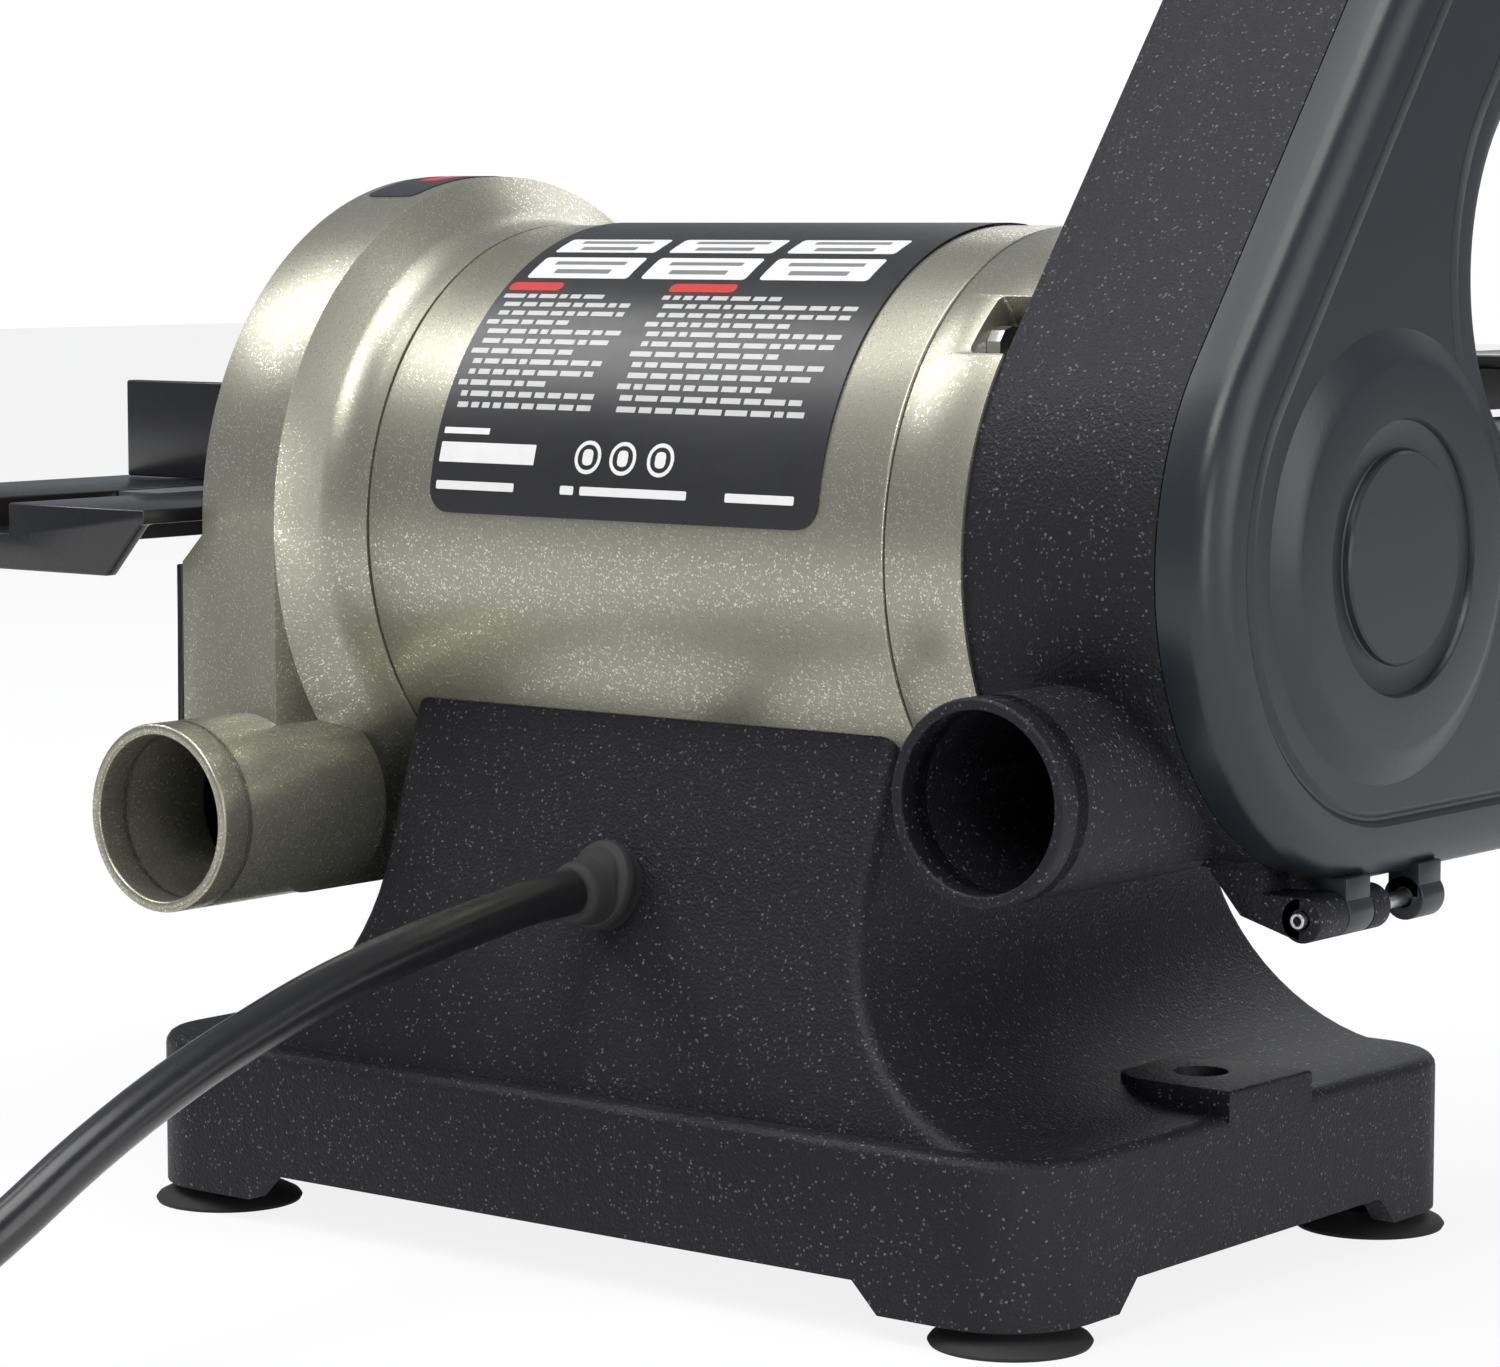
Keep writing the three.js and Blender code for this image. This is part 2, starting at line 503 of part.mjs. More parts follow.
// A curved slot or strip about the origin.
function sector(inner, outer, from, to, steps = 12) {
  return [...arc(0, 0, outer, from, to, steps), ...arc(0, 0, inner, to, from, steps)];
}

// A round knob on a stud, about +X: the stud's tip is at tip, the knob runs from 0 to length.
function knob(radius, length, tip, sides = 14) {
  return turned([
    [tip, 0], [tip, KNOB.stud], [0, KNOB.stud], [0, radius * 0.6], [length * 0.35, radius * 0.7],
    [length * 0.45, radius], [length * 0.9, radius], [length, radius * 0.8], [length, 0],
  ], sides);
}

function makeDiscTable() {
  const pivot = group(machine, DISC_PIVOT.x, 0, DISC_PIVOT.z);
  const table = DISC_TABLE;
  const inner = table.inner - DISC_PIVOT.x;
  const outer = table.outer - DISC_PIVOT.x;
  const top = table.top - DISC_PIVOT.z;
  const under = top - table.sheet;
  const edge = top - table.flange;
  const slotX = SLOT.x - DISC_PIVOT.x;
  const half = table.halfWidth;
  const flange = [[inner, under + 1], [inner + table.flange - table.sheet, edge],
    [outer, edge], [outer, under + 1]];
  const slot = SLOT.width / 2;
  piece(pivot, 'disc_table', BLACK_SHEET, cut(
    join(
      block(inner, outer, -half, half, under, top),
      prism('y', flange, -half, table.sheet - half),
      prism('y', flange, half - table.sheet, half),
      block(slotX - slot - SLOT.wall, slotX + slot + SLOT.wall, -half, half,
        top - SLOT.depth - SLOT.wall, under + 1),
    ),
    block(slotX - slot, slotX + slot, -half - 1, half + 1, top - SLOT.depth, top + 1),
  ));

  // A quadrant under the table's front edge, with the curved slot that the lock clamps.
  const cheekY = -GUARD.radius - 1.3;
  const slotHalf = CHEEK.slotWidth / 2;
  piece(pivot, 'disc_table_quadrant', STEEL, cut(
    join(
      prism('y', sector(CHEEK.inner, CHEEK.outer, -8, LOCK_ANGLE - 16, 14), cheekY - CHEEK.thick, cheekY),
      prism('y', rectangle(CHEEK.inner - 6, CHEEK.outer - 2, edge + 3, under - GAP),
        cheekY - CHEEK.thick, cheekY),
    ),
    prism('y', sector(CHEEK.slotRadius - slotHalf, CHEEK.slotRadius + slotHalf,
      LOCK_ANGLE + TILT + SLOT_MARGIN, LOCK_ANGLE - SLOT_MARGIN, 10), cheekY - 10, cheekY + 5),
    prism('y', rectangle(-60, 60, under - GAP, under + 60), cheekY - 10, cheekY + 5),
  ));
  const lock = group(machine, LOCK_X, cheekY - CHEEK.thick - GAP, LOCK_Z);
  piece(lock, 'disc_table_lock_knob', PLASTIC,
    knob(KNOB.radius - 1, KNOB.length, cheekY - CHEEK.thick - GAP + GUARD.radius - GUARD.wall)
      .rotateZ(-Math.PI / 2));

  const channel = top - SLOT.depth + GAP;
  const bar = slot - 0.5;
  const reach = GAUGE.barLength / 2;
  const turnY = GAUGE.fenceRear - GAUGE.swivelBehind;
  const gauge = group(pivot, slotX, turnY, 0);
  piece(gauge, 'mitre_bar', STEEL, cut(
    block(-bar, bar, -reach, reach, channel, top - GAP),
    rod('z', 0, 0, KNOB.stud + GAP, channel + 1.5, top + 1, 12),
  ));
  const fenceFrom = GAUGE.fenceInner - SLOT.x;
  const fenceBack = GAUGE.swivelBehind;
  const headTop = top + 3;
  const halfDisc = arc(0, fenceBack - GAUGE.fenceThick, GAUGE.head, 180, 360, 12);
  piece(gauge, 'mitre_head', PLASTIC, cut(
    join(
      prism('z', halfDisc, top + GAP, headTop),
      block(fenceFrom, fenceFrom + GAUGE.fence, fenceBack - GAUGE.fenceThick, fenceBack,
        top + GAP, top + GAP + GAUGE.fenceTall),
    ),
    rod('z', 0, 0, KNOB.stud + GAP, top - 1, headTop + 1, 12),
  ));
  const grip = group(gauge, 0, 0, headTop + GAP);
  piece(grip, 'mitre_knob', PLASTIC,
    knob(KNOB.radius * 0.62, KNOB.length, channel + 1.8 - headTop, 16).rotateY(-Math.PI / 2));
}

// ---------------------------------------------------------------- the belt's path
// The belt leaves the drive wheel along a run that leans forward, and comes down an upright run.
const STEP_RADIUS = WHEEL.drive - WHEEL.idler;
const arcLength = rad(90 + BELT.lean) * WHEEL.drive + rad(180 - BELT.lean + 90) * WHEEL.idler;
const REAR_RUN = (BELT.length - arcLength - STEP_RADIUS * (1 + sin(BELT.lean) - cos(BELT.lean)))
  / (1 + cos(BELT.lean) + sin(BELT.lean));
const TOP_IDLER = {
  y: STEP_RADIUS * cos(BELT.lean) - REAR_RUN * sin(BELT.lean),
  z: STEP_RADIUS * sin(BELT.lean) + REAR_RUN * cos(BELT.lean),
};
const FRONT_IDLER = { y: TOP_IDLER.y, z: -STEP_RADIUS };

// The closed line that stays this far outside the wheels.
function beltPath(offset) {
  return [
    ...arc(0, 0, WHEEL.drive + offset, -90, BELT.lean, 14),
    ...arc(TOP_IDLER.y, TOP_IDLER.z, WHEEL.idler + offset, BELT.lean, 180, 10),
    ...arc(FRONT_IDLER.y, FRONT_IDLER.z, WHEEL.idler + offset, 180, 270, 6),
  ];
}

// The C shaped outline that housing and cover share, drawn in by inset.
const MARGIN = HOUSING.margin;
const SPINE = THROAT.y * cos(BELT.lean) + THROAT.z * sin(BELT.lean) + THROAT.radius;
const HOUSING_FRONT = FRONT_IDLER.y - WHEEL.idler - MARGIN;

function housingOutline(inset, front = THROAT.front + inset) {
  const crown = WHEEL.idler + MARGIN - inset;
  const frontAngle = THREE.MathUtils.radToDeg(Math.acos((front - TOP_IDLER.y) / crown));
  const filletZ = THROAT.armBottom - THROAT.fillet;
  const filletY = (SPINE - THROAT.fillet - filletZ * sin(BELT.lean)) / cos(BELT.lean);
  const throat = THROAT.radius + inset;
  const throatEnd = THREE.MathUtils.radToDeg(Math.asin((THROAT.armTop - inset - THROAT.z) / throat));
  const corner = ARM_CORNER - inset;
  return [
    ...arc(0, 0, WHEEL.drive + MARGIN - inset, -90, BELT.lean, 14),
    ...arc(TOP_IDLER.y, TOP_IDLER.z, crown, BELT.lean, frontAngle, 6),
    [front, THROAT.armBottom + inset],
    ...arc(filletY, filletZ, THROAT.fillet + inset, 90, BELT.lean, 3),
    ...arc(THROAT.y, THROAT.z, throat, BELT.lean, throatEnd, 7),
    ...arc(HOUSING_FRONT + ARM_CORNER, THROAT.armTop - ARM_CORNER, corner, 90, 180, 3),
    ...arc(FRONT_IDLER.y, FRONT_IDLER.z, WHEEL.idler + MARGIN - inset, 180, 270, 6),
  ];
}

const BELT_IN = BELT.centre + BELT.width / 2; // its edge next to the motor
const WHEEL_IN = BELT.centre + WHEEL.width / 2;
const WHEEL_OUT = BELT.centre - WHEEL.width / 2;
const FLOOR_FACE = HOUSING.inboard - HOUSING.floor; // the housing's floor, seen from inside
const COVER_KNOB = {
  y: 30 * cos(BELT.lean) - 190 * sin(BELT.lean),
  z: 30 * sin(BELT.lean) + 190 * cos(BELT.lean),
};
const TENSION_PIVOT = { y: TOP_IDLER.y + 34.7, z: TOP_IDLER.z, radius: 5 };
const BELT_LOCK_Y = BELT_PIVOT.y + BELT_LOCK.radius * cos(BELT_LOCK.angle);
const BELT_LOCK_Z = BELT_PIVOT.z + BELT_LOCK.radius * sin(BELT_LOCK.angle) - SHAFT_HEIGHT;

// A hinge knuckle round the pin, cut from y0 to y1 along it.
const knuckle = ([y0, y1]) => rod('y', HINGE.x, HINGE.z, HINGE.knuckle, y0, y1, 20);

function makeBeltHousing() {
  const seam = HOUSING.seam;
  const bottom = -WHEEL.drive - MARGIN;
  const port = BELT_PORT;
  const hingeArm = ([y0, y1]) => {
    const top = 2.5 - Math.sqrt(bottom ** 2 - y1 ** 2);
    return prism('y', [
      [seam + 16, top], [seam + 0.4, top], [seam + 0.4, bottom - 1],
      [HINGE.x, HINGE.z + HINGE.knuckle - 0.1], [HINGE.x, HINGE.z - HINGE.knuckle + 0.1],
      [seam + 5, bottom - 5.5],
    ], y0, y1);
  };
  const outside = join(
    prism('x', housingOutline(0), seam, HOUSING.inboard),
    rod('y', port.x, port.z, port.radius, port.root, port.rim, 24),
    ...HOUSING_KNUCKLES.map(knuckle),
    ...HOUSING_KNUCKLES.map(hingeArm),
  );
  const slotFrom = HOUSING.wall + 8;
  const hollow = join(
    prism('x', housingOutline(HOUSING.wall, THROAT.front - 8), seam - 1, FLOOR_FACE),
    rod('y', port.x, port.z, port.radius - port.wall, port.root + 5, port.rim + 1, 24),
    block(WHEEL_OUT - 1, FLOOR_FACE - 2, TOP_IDLER.y - WHEEL.idler - 6, TOP_IDLER.y - WHEEL.idler + 5.5,
      THROAT.armTop - slotFrom, THROAT.armTop + 1),
  );
  const bosses = join(
    rod('x', COVER_KNOB.y, COVER_KNOB.z, 7, seam + 2.4, FLOOR_FACE + 1),
    rod('x', TENSION_PIVOT.y, TENSION_PIVOT.z, TENSION_PIVOT.radius, HOUSING.inboard - 1, -74, 20),
    rod('x', BELT_LOCK_Y, BELT_LOCK_Z, 7, HOUSING.inboard - 1, BELT_LOCK.x - GAP, 20),
  );
  piece(shaftLine, 'belt_housing', BLACK_CAST, cut(
    join(cut(outside, hollow), bosses),
    rod('x', COVER_KNOB.y, COVER_KNOB.z, KNOB.stud + GAP, seam, -98, 12),
    rod('x', BELT_LOCK_Y, BELT_LOCK_Z, KNOB.stud + GAP, FLOOR_FACE - 1, -70, 12),
    rod('x', FRONT_IDLER.y, FRONT_IDLER.z, WHEEL.axle + GAP, -100, -80, 16),
    rod('x', 0, 0, SHAFT.journal + 6, -100, -80),
    block(-100, -80, TOP_IDLER.y - 6.5, TOP_IDLER.y + 6.5, TOP_IDLER.z - 15, TOP_IDLER.z + 6.5),
    rod('y', HINGE.x, HINGE.z, HINGE.pin + GAP, -40, 40, 12),
    ...HOUSING_SCREWS.angles.map((angle) => rod('x', ...onCircle(HOUSING_SCREWS.circle, angle),
      HOUSING_SCREWS.shank + GAP, -100, -80, 8)),
  ));
  HOUSING_SCREWS.angles.forEach((angle, i) => {
    const head = FLOOR_FACE - GAP;
    const [y, z] = onCircle(HOUSING_SCREWS.circle, angle);
    const profile = [
      [head - 3, 0], [head - 3, HOUSING_SCREWS.head], [head, HOUSING_SCREWS.head],
      [head, HOUSING_SCREWS.shank], [-76, HOUSING_SCREWS.shank], [-76, 0],
    ];
    piece(group(shaftLine, 0, y, z), `housing_screw_${i + 1}`, STEEL, turned(profile, 12));
  });
}

function makeCover() {
  const back = HOUSING.seam - GAP;
  const bottom = -WHEEL.drive - MARGIN;
  const bevel = [[back, 0], [-135.2, 0], [-138.8, 2], [COVER.face, 6.5]];
  const plateau = turned([
    [COVER.face + 1, 0], [COVER.face + 1, 43], [COVER.face, 42], [COVER.plateau, 36],
    [COVER.plateau, 25.8], [COVER.plateau + 1.6, 25.2], [COVER.plateau + 1.6, 20.1],
    [COVER.plateau, 19.5], [COVER.plateau, 0],
  ], 28);
  const web = ([y0, y1]) => block(HINGE.x - 3.5, HINGE.x + 3.5, y0, y1, HINGE.z, bottom + 1.5);
  piece(shaftLine, 'belt_cover', BLACK_SATIN, cut(
    join(
      cut(
        join(loft(bevel.map(([x, inset]) => ({ x, outline: housingOutline(inset) }))), plateau),
        prism('x', housingOutline(COVER.wall), COVER.face + COVER.wall, back + 1),
      ),
      ...COVER_KNUCKLES.map(knuckle),
      ...COVER_KNUCKLES.map(web),
    ),
    rod('y', HINGE.x, HINGE.z, HINGE.pin + GAP, -40, 40, 12),
    rod('x', COVER_KNOB.y, COVER_KNOB.z, KNOB.stud + GAP, -150, -120, 12),
  ));
  const pinEnds = [COVER_KNUCKLES[1][0] - 1.5, HOUSING_KNUCKLES[0][1] + 1.5];
  piece(shaftLine, 'cover_hinge_pin', STEEL, rod('y', HINGE.x, HINGE.z, HINGE.pin, ...pinEnds, 12));
  const seat = group(shaftLine, COVER.face - GAP, COVER_KNOB.y, COVER_KNOB.z);
  piece(seat, 'cover_knob', PLASTIC, knob(KNOB.radius, KNOB.length, -42).rotateY(Math.PI));
}

// ---------------------------------------------------------------- belt, wheels and platen
function wheel(radius, bore) {
  const face = radius > WHEEL.idler ? 8 : 5; // how deep the outer face is dished
  return turned([
    [WHEEL_OUT, bore], [WHEEL_OUT, bore + 6], [WHEEL_OUT + face, bore + 7], [WHEEL_OUT + face, radius - 6],
    [WHEEL_OUT, radius - 4], [WHEEL_OUT, radius], [WHEEL_IN, radius], [WHEEL_IN, bore],
  ], radius > WHEEL.idler ? 32 : 20);
}

function makeBeltDrive() {
  piece(shaftLine, 'drive_wheel', ALUMINIUM, wheel(WHEEL.drive, SHAFT.journal + GAP));
  piece(shaftLine, 'drive_wheel_nut', STEEL, cut(
    rod('x', 0, 0, 11, SHAFT.beltEnd + 1, WHEEL_OUT - GAP, 6),
    rod('x', 0, 0, SHAFT.journal + GAP, -140, -110),
  ));
  piece(shaftLine, 'sanding_belt', ABRASIVE, prism('x', beltPath(GAP + BELT.thick),
    BELT.centre - BELT.width / 2, BELT_IN, beltPath(GAP)));

  const bore = WHEEL.axle + GAP;
  const front = group(shaftLine, 0, FRONT_IDLER.y, FRONT_IDLER.z);
  piece(front, 'front_idler_wheel', PLASTIC, wheel(WHEEL.idler, bore));
  piece(front, 'front_idler_axle', STEEL, turned([
    [WHEEL_OUT - 3, 0], [WHEEL_OUT - 3, WHEEL.axle], [WHEEL_IN + GAP, WHEEL.axle],
    [WHEEL_IN + GAP, 9], [FLOOR_FACE - GAP, 9], [FLOOR_FACE - GAP, WHEEL.axle],
    [HOUSING.inboard, WHEEL.axle], [HOUSING.inboard, 0],
  ], 16));

  // The top idler's axle sits in a yoke that the tracking knob tilts, on an arm that holds the tension.
  const top = group(shaftLine, 0, TOP_IDLER.y, TOP_IDLER.z);
  piece(top, 'top_idler_wheel', PLASTIC, wheel(WHEEL.idler, bore));
  const arm = { back: HOUSING.inboard + 0.6, front: -80 };
  const pivotY = TENSION_PIVOT.y - TOP_IDLER.y;
  const knobZ = -24;
  piece(top, 'tension_arm', BLACK_CAST, cut(
    join(
      rod('x', 0, 0, 12, arm.back, arm.front),
      rod('x', pivotY, 0, 10, arm.back, arm.front),
      block(arm.back, arm.front, 0, pivotY, -9, 9),
      block(arm.back, arm.front, -9, 9, knobZ - 9, 0),
      block(arm.back, arm.front, pivotY, pivotY + 48, -5, 5),
      rod('x', pivotY + 50, 0, 8, arm.back, arm.front + 4),
    ),
    rod('x', 0, 0, bore, -100, -60, 16),
    rod('x', pivotY, 0, TENSION_PIVOT.radius + GAP, -100, -60, 20),
    rod('x', 0, knobZ, KNOB.stud + GAP, arm.back + 1, -60, 12),
  ));
  const yoke = { back: arm.front + 1.2, front: arm.front + 4.2 };
  piece(top, 'tracking_yoke', STEEL, cut(
    join(
      rod('x', 0, 0, WHEEL.axle, WHEEL_OUT - 2, yoke.front, 16),
      block(yoke.back, yoke.front, -9, 9, knobZ - 9, 9),
    ),
    rod('x', 0, knobZ, KNOB.stud + 0.8, -100, -60, 12),
  ));
  piece(group(top, yoke.front + 0.9, 0, knobZ), 'tracking_knob', PLASTIC,
    knob(KNOB.radius, KNOB.length, arm.back + 1.6 - yoke.front));

  const spring = { radius: TENSION_PIVOT.radius + 2.2, wire: 0.8, turns: 2.5, pitch: 1.9, steps: 12 };
  const coil = new THREE.CatmullRomCurve3(Array.from({ length: spring.turns * spring.steps + 1 }, (_, i) => {
    const angle = (360 * i) / spring.steps;
    return new THREE.Vector3(arm.front + 1.2 + (spring.pitch * i) / spring.steps,
      spring.radius * cos(angle), spring.radius * sin(angle));
  }));
  piece(group(shaftLine, 0, TENSION_PIVOT.y, TENSION_PIVOT.z), 'tension_spring', STEEL,
    new THREE.ExtrudeGeometry(new THREE.Shape(flat(circle(0, 0, spring.wire, 5))), {
      extrudePath: coil, steps: spring.turns * spring.steps, bevelEnabled: false,
    }));

  const beltBack = TOP_IDLER.y - WHEEL.idler - GAP;
  const plateFront = beltBack + PLATEN.behindBelt;
  const plateFrom = BELT.centre - PLATEN.width / 2;
  piece(shaftLine, 'platen', STEEL, join(
    block(plateFrom, plateFrom + PLATEN.width, plateFront, plateFront + PLATEN.thick,
      PLATEN.bottom, PLATEN.top),
    block(plateFrom + PLATEN.width - 2, FLOOR_FACE - GAP, plateFront, plateFront + 32,
      PLATEN.bottom, PLATEN.bottom + 11),
  ));
}

// ---------------------------------------------------------------- belt table
function makeBeltTable() {
  const table = BELT_TABLE;
  const pivot = group(machine, 0, BELT_PIVOT.y, BELT_PIVOT.z);
  const [x0, x1] = [table.centre - table.width / 2, table.centre + table.width / 2];
  const [y0, y1] = [table.front - BELT_PIVOT.y, table.back - BELT_PIVOT.y];
  const top = table.top - BELT_PIVOT.z;
  const under = top - table.sheet;
  const edge = top - table.flange;
  const flangeEnd = -15;
  const wall = 2.5;
  const slotFront = TOP_IDLER.y - WHEEL.idler - GAP - BELT.thick - 1.6 - BELT_PIVOT.y;
  piece(pivot, 'belt_table', BLACK_SHEET, cut(
    join(
      block(x0, x1, y0, y1, under, top),
      block(x0, x0 + wall, y0, flangeEnd, edge, under + 1),
      block(x1 - wall, x1, y0, flangeEnd, edge, under + 1),
      block(x0, x1, y0, y0 + wall, edge, under + 1),
    ),
    block(BELT.centre - BELT.width / 2 - 3, BELT_IN + 3, slotFront, y1 + 1, under - 1, top + 1),
  ));
  const lock = BELT_LOCK;
  const slotHalf = CHEEK.slotWidth / 2;
  piece(pivot, 'belt_table_quadrant', STEEL, cut(
    join(
      prism('x', sector(lock.inner, lock.outer, lock.angle - TILT - 17, lock.angle + 17, 12),
        lock.x, lock.x + lock.thick),
      prism('x', rectangle(-22, 20, edge, under - GAP), lock.x, lock.x + lock.thick),
    ),
    prism('x', sector(lock.radius - slotHalf, lock.radius + slotHalf, lock.angle - TILT - SLOT_MARGIN,
      lock.angle + SLOT_MARGIN, 10), lock.x - 5, lock.x + 10),
    prism('x', rectangle(-60, 60, under - GAP, 60), lock.x - 5, lock.x + 10),
  ));
  const face = lock.x + lock.thick + GAP;
  piece(group(shaftLine, face, BELT_LOCK_Y, BELT_LOCK_Z), 'belt_table_lock_knob', PLASTIC,
    knob(KNOB.radius - 1, KNOB.length, FLOOR_FACE - face));
}

// ---------------------------------------------------------------- switch, inlet and mains lead
function makeSwitch() {
  const [w, h] = [SWITCH.width / 2, SWITCH.height / 2 + 2];
  const [bw, bh] = [SWITCH.bodyWidth / 2, SWITCH.bodyHeight / 2 - 1];
  const well = { wide: 9.5, tall: 13.5, bottom: -8 };
  piece(switchFrame, 'switch_body', PLASTIC, cut(
    join(block(-w, w, -h, h, GAP, SWITCH.bezel + GAP), block(-bw, bw, -bh, bh, -SWITCH.deep, 1)),
    block(-well.wide, well.wide, -well.tall, well.tall, well.bottom, 10),
  ));
  const rocker = [[-11.6, 7.5], [0, 4.6], [11.6, 7.5], [11.2, -1], [2, -4], [-2, -4], [-11.2, -1]];
  const wide = well.wide - 0.4;
  piece(switchFrame, 'switch_rocker', PLASTIC, cut(
    prism('x', rocker, -wide, wide),
    block(-4.3, 4.3, 2.7, 7.3, -2, 10),
  ));
  piece(switchFrame, 'safety_key', KEY_RED, block(-4, 4, 3, 7, -1.7, 11));
}

// The lead leaves the rear, droops to the surface and runs to a coil tied up beside it.
const CORD_ROUTE = [
  [-4, 84, 74.6], [-4, 96, 73], [-4, 111, 71], [-4, 142, 65], [-4, 176.5, 54.5], [-4, 199, 45],
  [-3, 220, 33.5], [1, 240, 22], [10, 259, 12.5], [24, 275, 7], [44, 286, 5.2],
];
// From the top of the coil, measured from its centre, round to the plug beside it.
const TAIL_ROUTE = [
  [23, 53.3, 14.2], [46, 46, 11.5], [66, 32, 9], [80, 14, 8.6], [85, 4, 10.4], [88, -4, 12.5],
  [90, -12, 13.3], [91.8, -20, 13.4],
];

function makeLead() {
  const oval = INLET.wide / INLET.tall;
  const bushing = turned([
    [-9, 0], [-9, INLET.neck - 1.5], [-7, INLET.neck], [GAP, INLET.neck], [GAP, INLET.tall],
    [3.6, INLET.tall], [5, INLET.tall - 1.4], [5, 0],
  ], 16, 'z').scale(oval, 1, 1);
  const inletY = slopeY(INLET.z);
  const noseEnd = inletY + 13;
  const nose = rod('y', INLET.x, INLET.z + 1, CORD.radius + 2, inletY + 1, noseEnd, 20);
  const toLocal = inletFrame.matrix.clone().invert();
  piece(inletFrame, 'strain_relief', RUBBER, join(bushing, nose.applyMatrix4(toLocal)));

  const coil = group(machine, COIL.x, COIL.y);
  const wide = COIL.turnsWide * CORD.radius;
  const high = 2 * CORD.radius * COIL.turnsHigh;
  const ring = [
    [COIL.lift, COIL.radius - wide], [COIL.lift, COIL.radius + wide],
    [COIL.lift + high, COIL.radius + wide], [COIL.lift + high, COIL.radius - wide],
  ];
  piece(coil, 'cord_coil', RUBBER, turned(ring, 28, 'z'));

  // The free stretch ends where it meets the outermost turn, and so does the plug's tail.
  const outerTurn = COIL.radius + wide - CORD.radius;
  const keepOut = rod('z', COIL.x, COIL.y, COIL.radius + wide + GAP, -5, 60, 32);
  const tube = (points, steps) => new THREE.ExtrudeGeometry(
    new THREE.Shape(flat(circle(0, 0, CORD.radius, CORD.sides))),
    { extrudePath: new THREE.CatmullRomCurve3(points), steps, bevelEnabled: false },
  );
  const start = new THREE.Vector3(INLET.x, noseEnd + GAP, INLET.z + 1);
  const route = [start, ...CORD_ROUTE.map((point) => new THREE.Vector3(...point)),
    new THREE.Vector3(COIL.x, COIL.y + outerTurn, COIL.lift + CORD.radius)];
  piece(machine, 'power_cord', RUBBER, cut(tube(route, 20), keepOut));

  const plug = { body: 40, radius: 13, blade: 16 };
  const tailRoute = [[0, outerTurn, COIL.lift + 3 * CORD.radius], ...TAIL_ROUTE]
    .map(([x, y, z]) => new THREE.Vector3(COIL.x + x, COIL.y + y, z));
  const [tailEnd] = tailRoute.slice(-1);
  const heading = tailEnd.clone().sub(tailRoute.at(-2)).setZ(0).normalize();
  piece(machine, 'cord_tail', RUBBER, cut(tube(tailRoute, 14), keepOut));

  const holder = group(machine, tailEnd.x, tailEnd.y, tailEnd.z);
  holder.rotation.z = Math.atan2(heading.y, heading.x);
  const body = turned([
    [GAP, 0], [GAP, CORD.radius + 1.5], [12, CORD.radius + 3], [16, plug.radius - 1], [18, plug.radius],
    [plug.body, plug.radius], [plug.body, 0],
  ], 20);
  const blade = (y, z, wideY, tallZ) => block(plug.body - 1, plug.body + plug.blade,
    y - wideY, y + wideY, z - tallZ, z + tallZ);
  piece(holder, 'plug', RUBBER, join(body, blade(-6.3, 3, 0.8, 3.2), blade(6.3, 3, 0.8, 3.2),
    rod('x', 0, -7.5, 2.4, plug.body - 1, plug.body + plug.blade + 2, 12)));

  // A flat tie round the bundle of turns.
  const tie = COIL.tie;
  const [half, bow] = [4, 0.3]; // its half width, and how far the ring's inner side bows away under it
  const loop = (by) => rectangle(COIL.radius - wide - GAP - bow - by, COIL.radius + wide + GAP + by,
    COIL.lift - GAP - by, COIL.lift + high + GAP + by);
  piece(coil, 'cord_tie', PLASTIC, prism('y', loop(tie), -half, half, loop(0)));
}

makeBase();
makeMotor();
makeDiscEnd();
makeDiscTable();
makeBeltHousing();
makeCover();
makeBeltDrive();
makeBeltTable();
makeSwitch();
makeLead();

// The origin is under the middle of the machine, on the surface it stands on. The lead isn't counted.
const LEAD = ['power_cord', 'cord_coil', 'cord_tail', 'cord_tie', 'plug'];
machine.updateMatrixWorld(true);
const box = new THREE.Box3();
machine.traverse((object) => {
  if (object.isMesh && !LEAD.includes(object.name)) box.expandByObject(object, true);
});
const centre = box.getCenter(new THREE.Vector3());
machine.position.set(-centre.x, -centre.y, -box.min.z);

export default machine;
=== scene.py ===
# %% [markdown]
# # A bench belt and disc sander
# The machine is a drum motor on a cast base. One end of its shaft turns a sanding disc inside
# a round guard, and the other end drives a narrow belt inside a tall C-shaped housing.
# The measured solids are loaded first. Everything made below goes where they say.

# %% Load the measured solids
import json
import math
import random

import bmesh
import bpy
from mathutils import Matrix, Vector

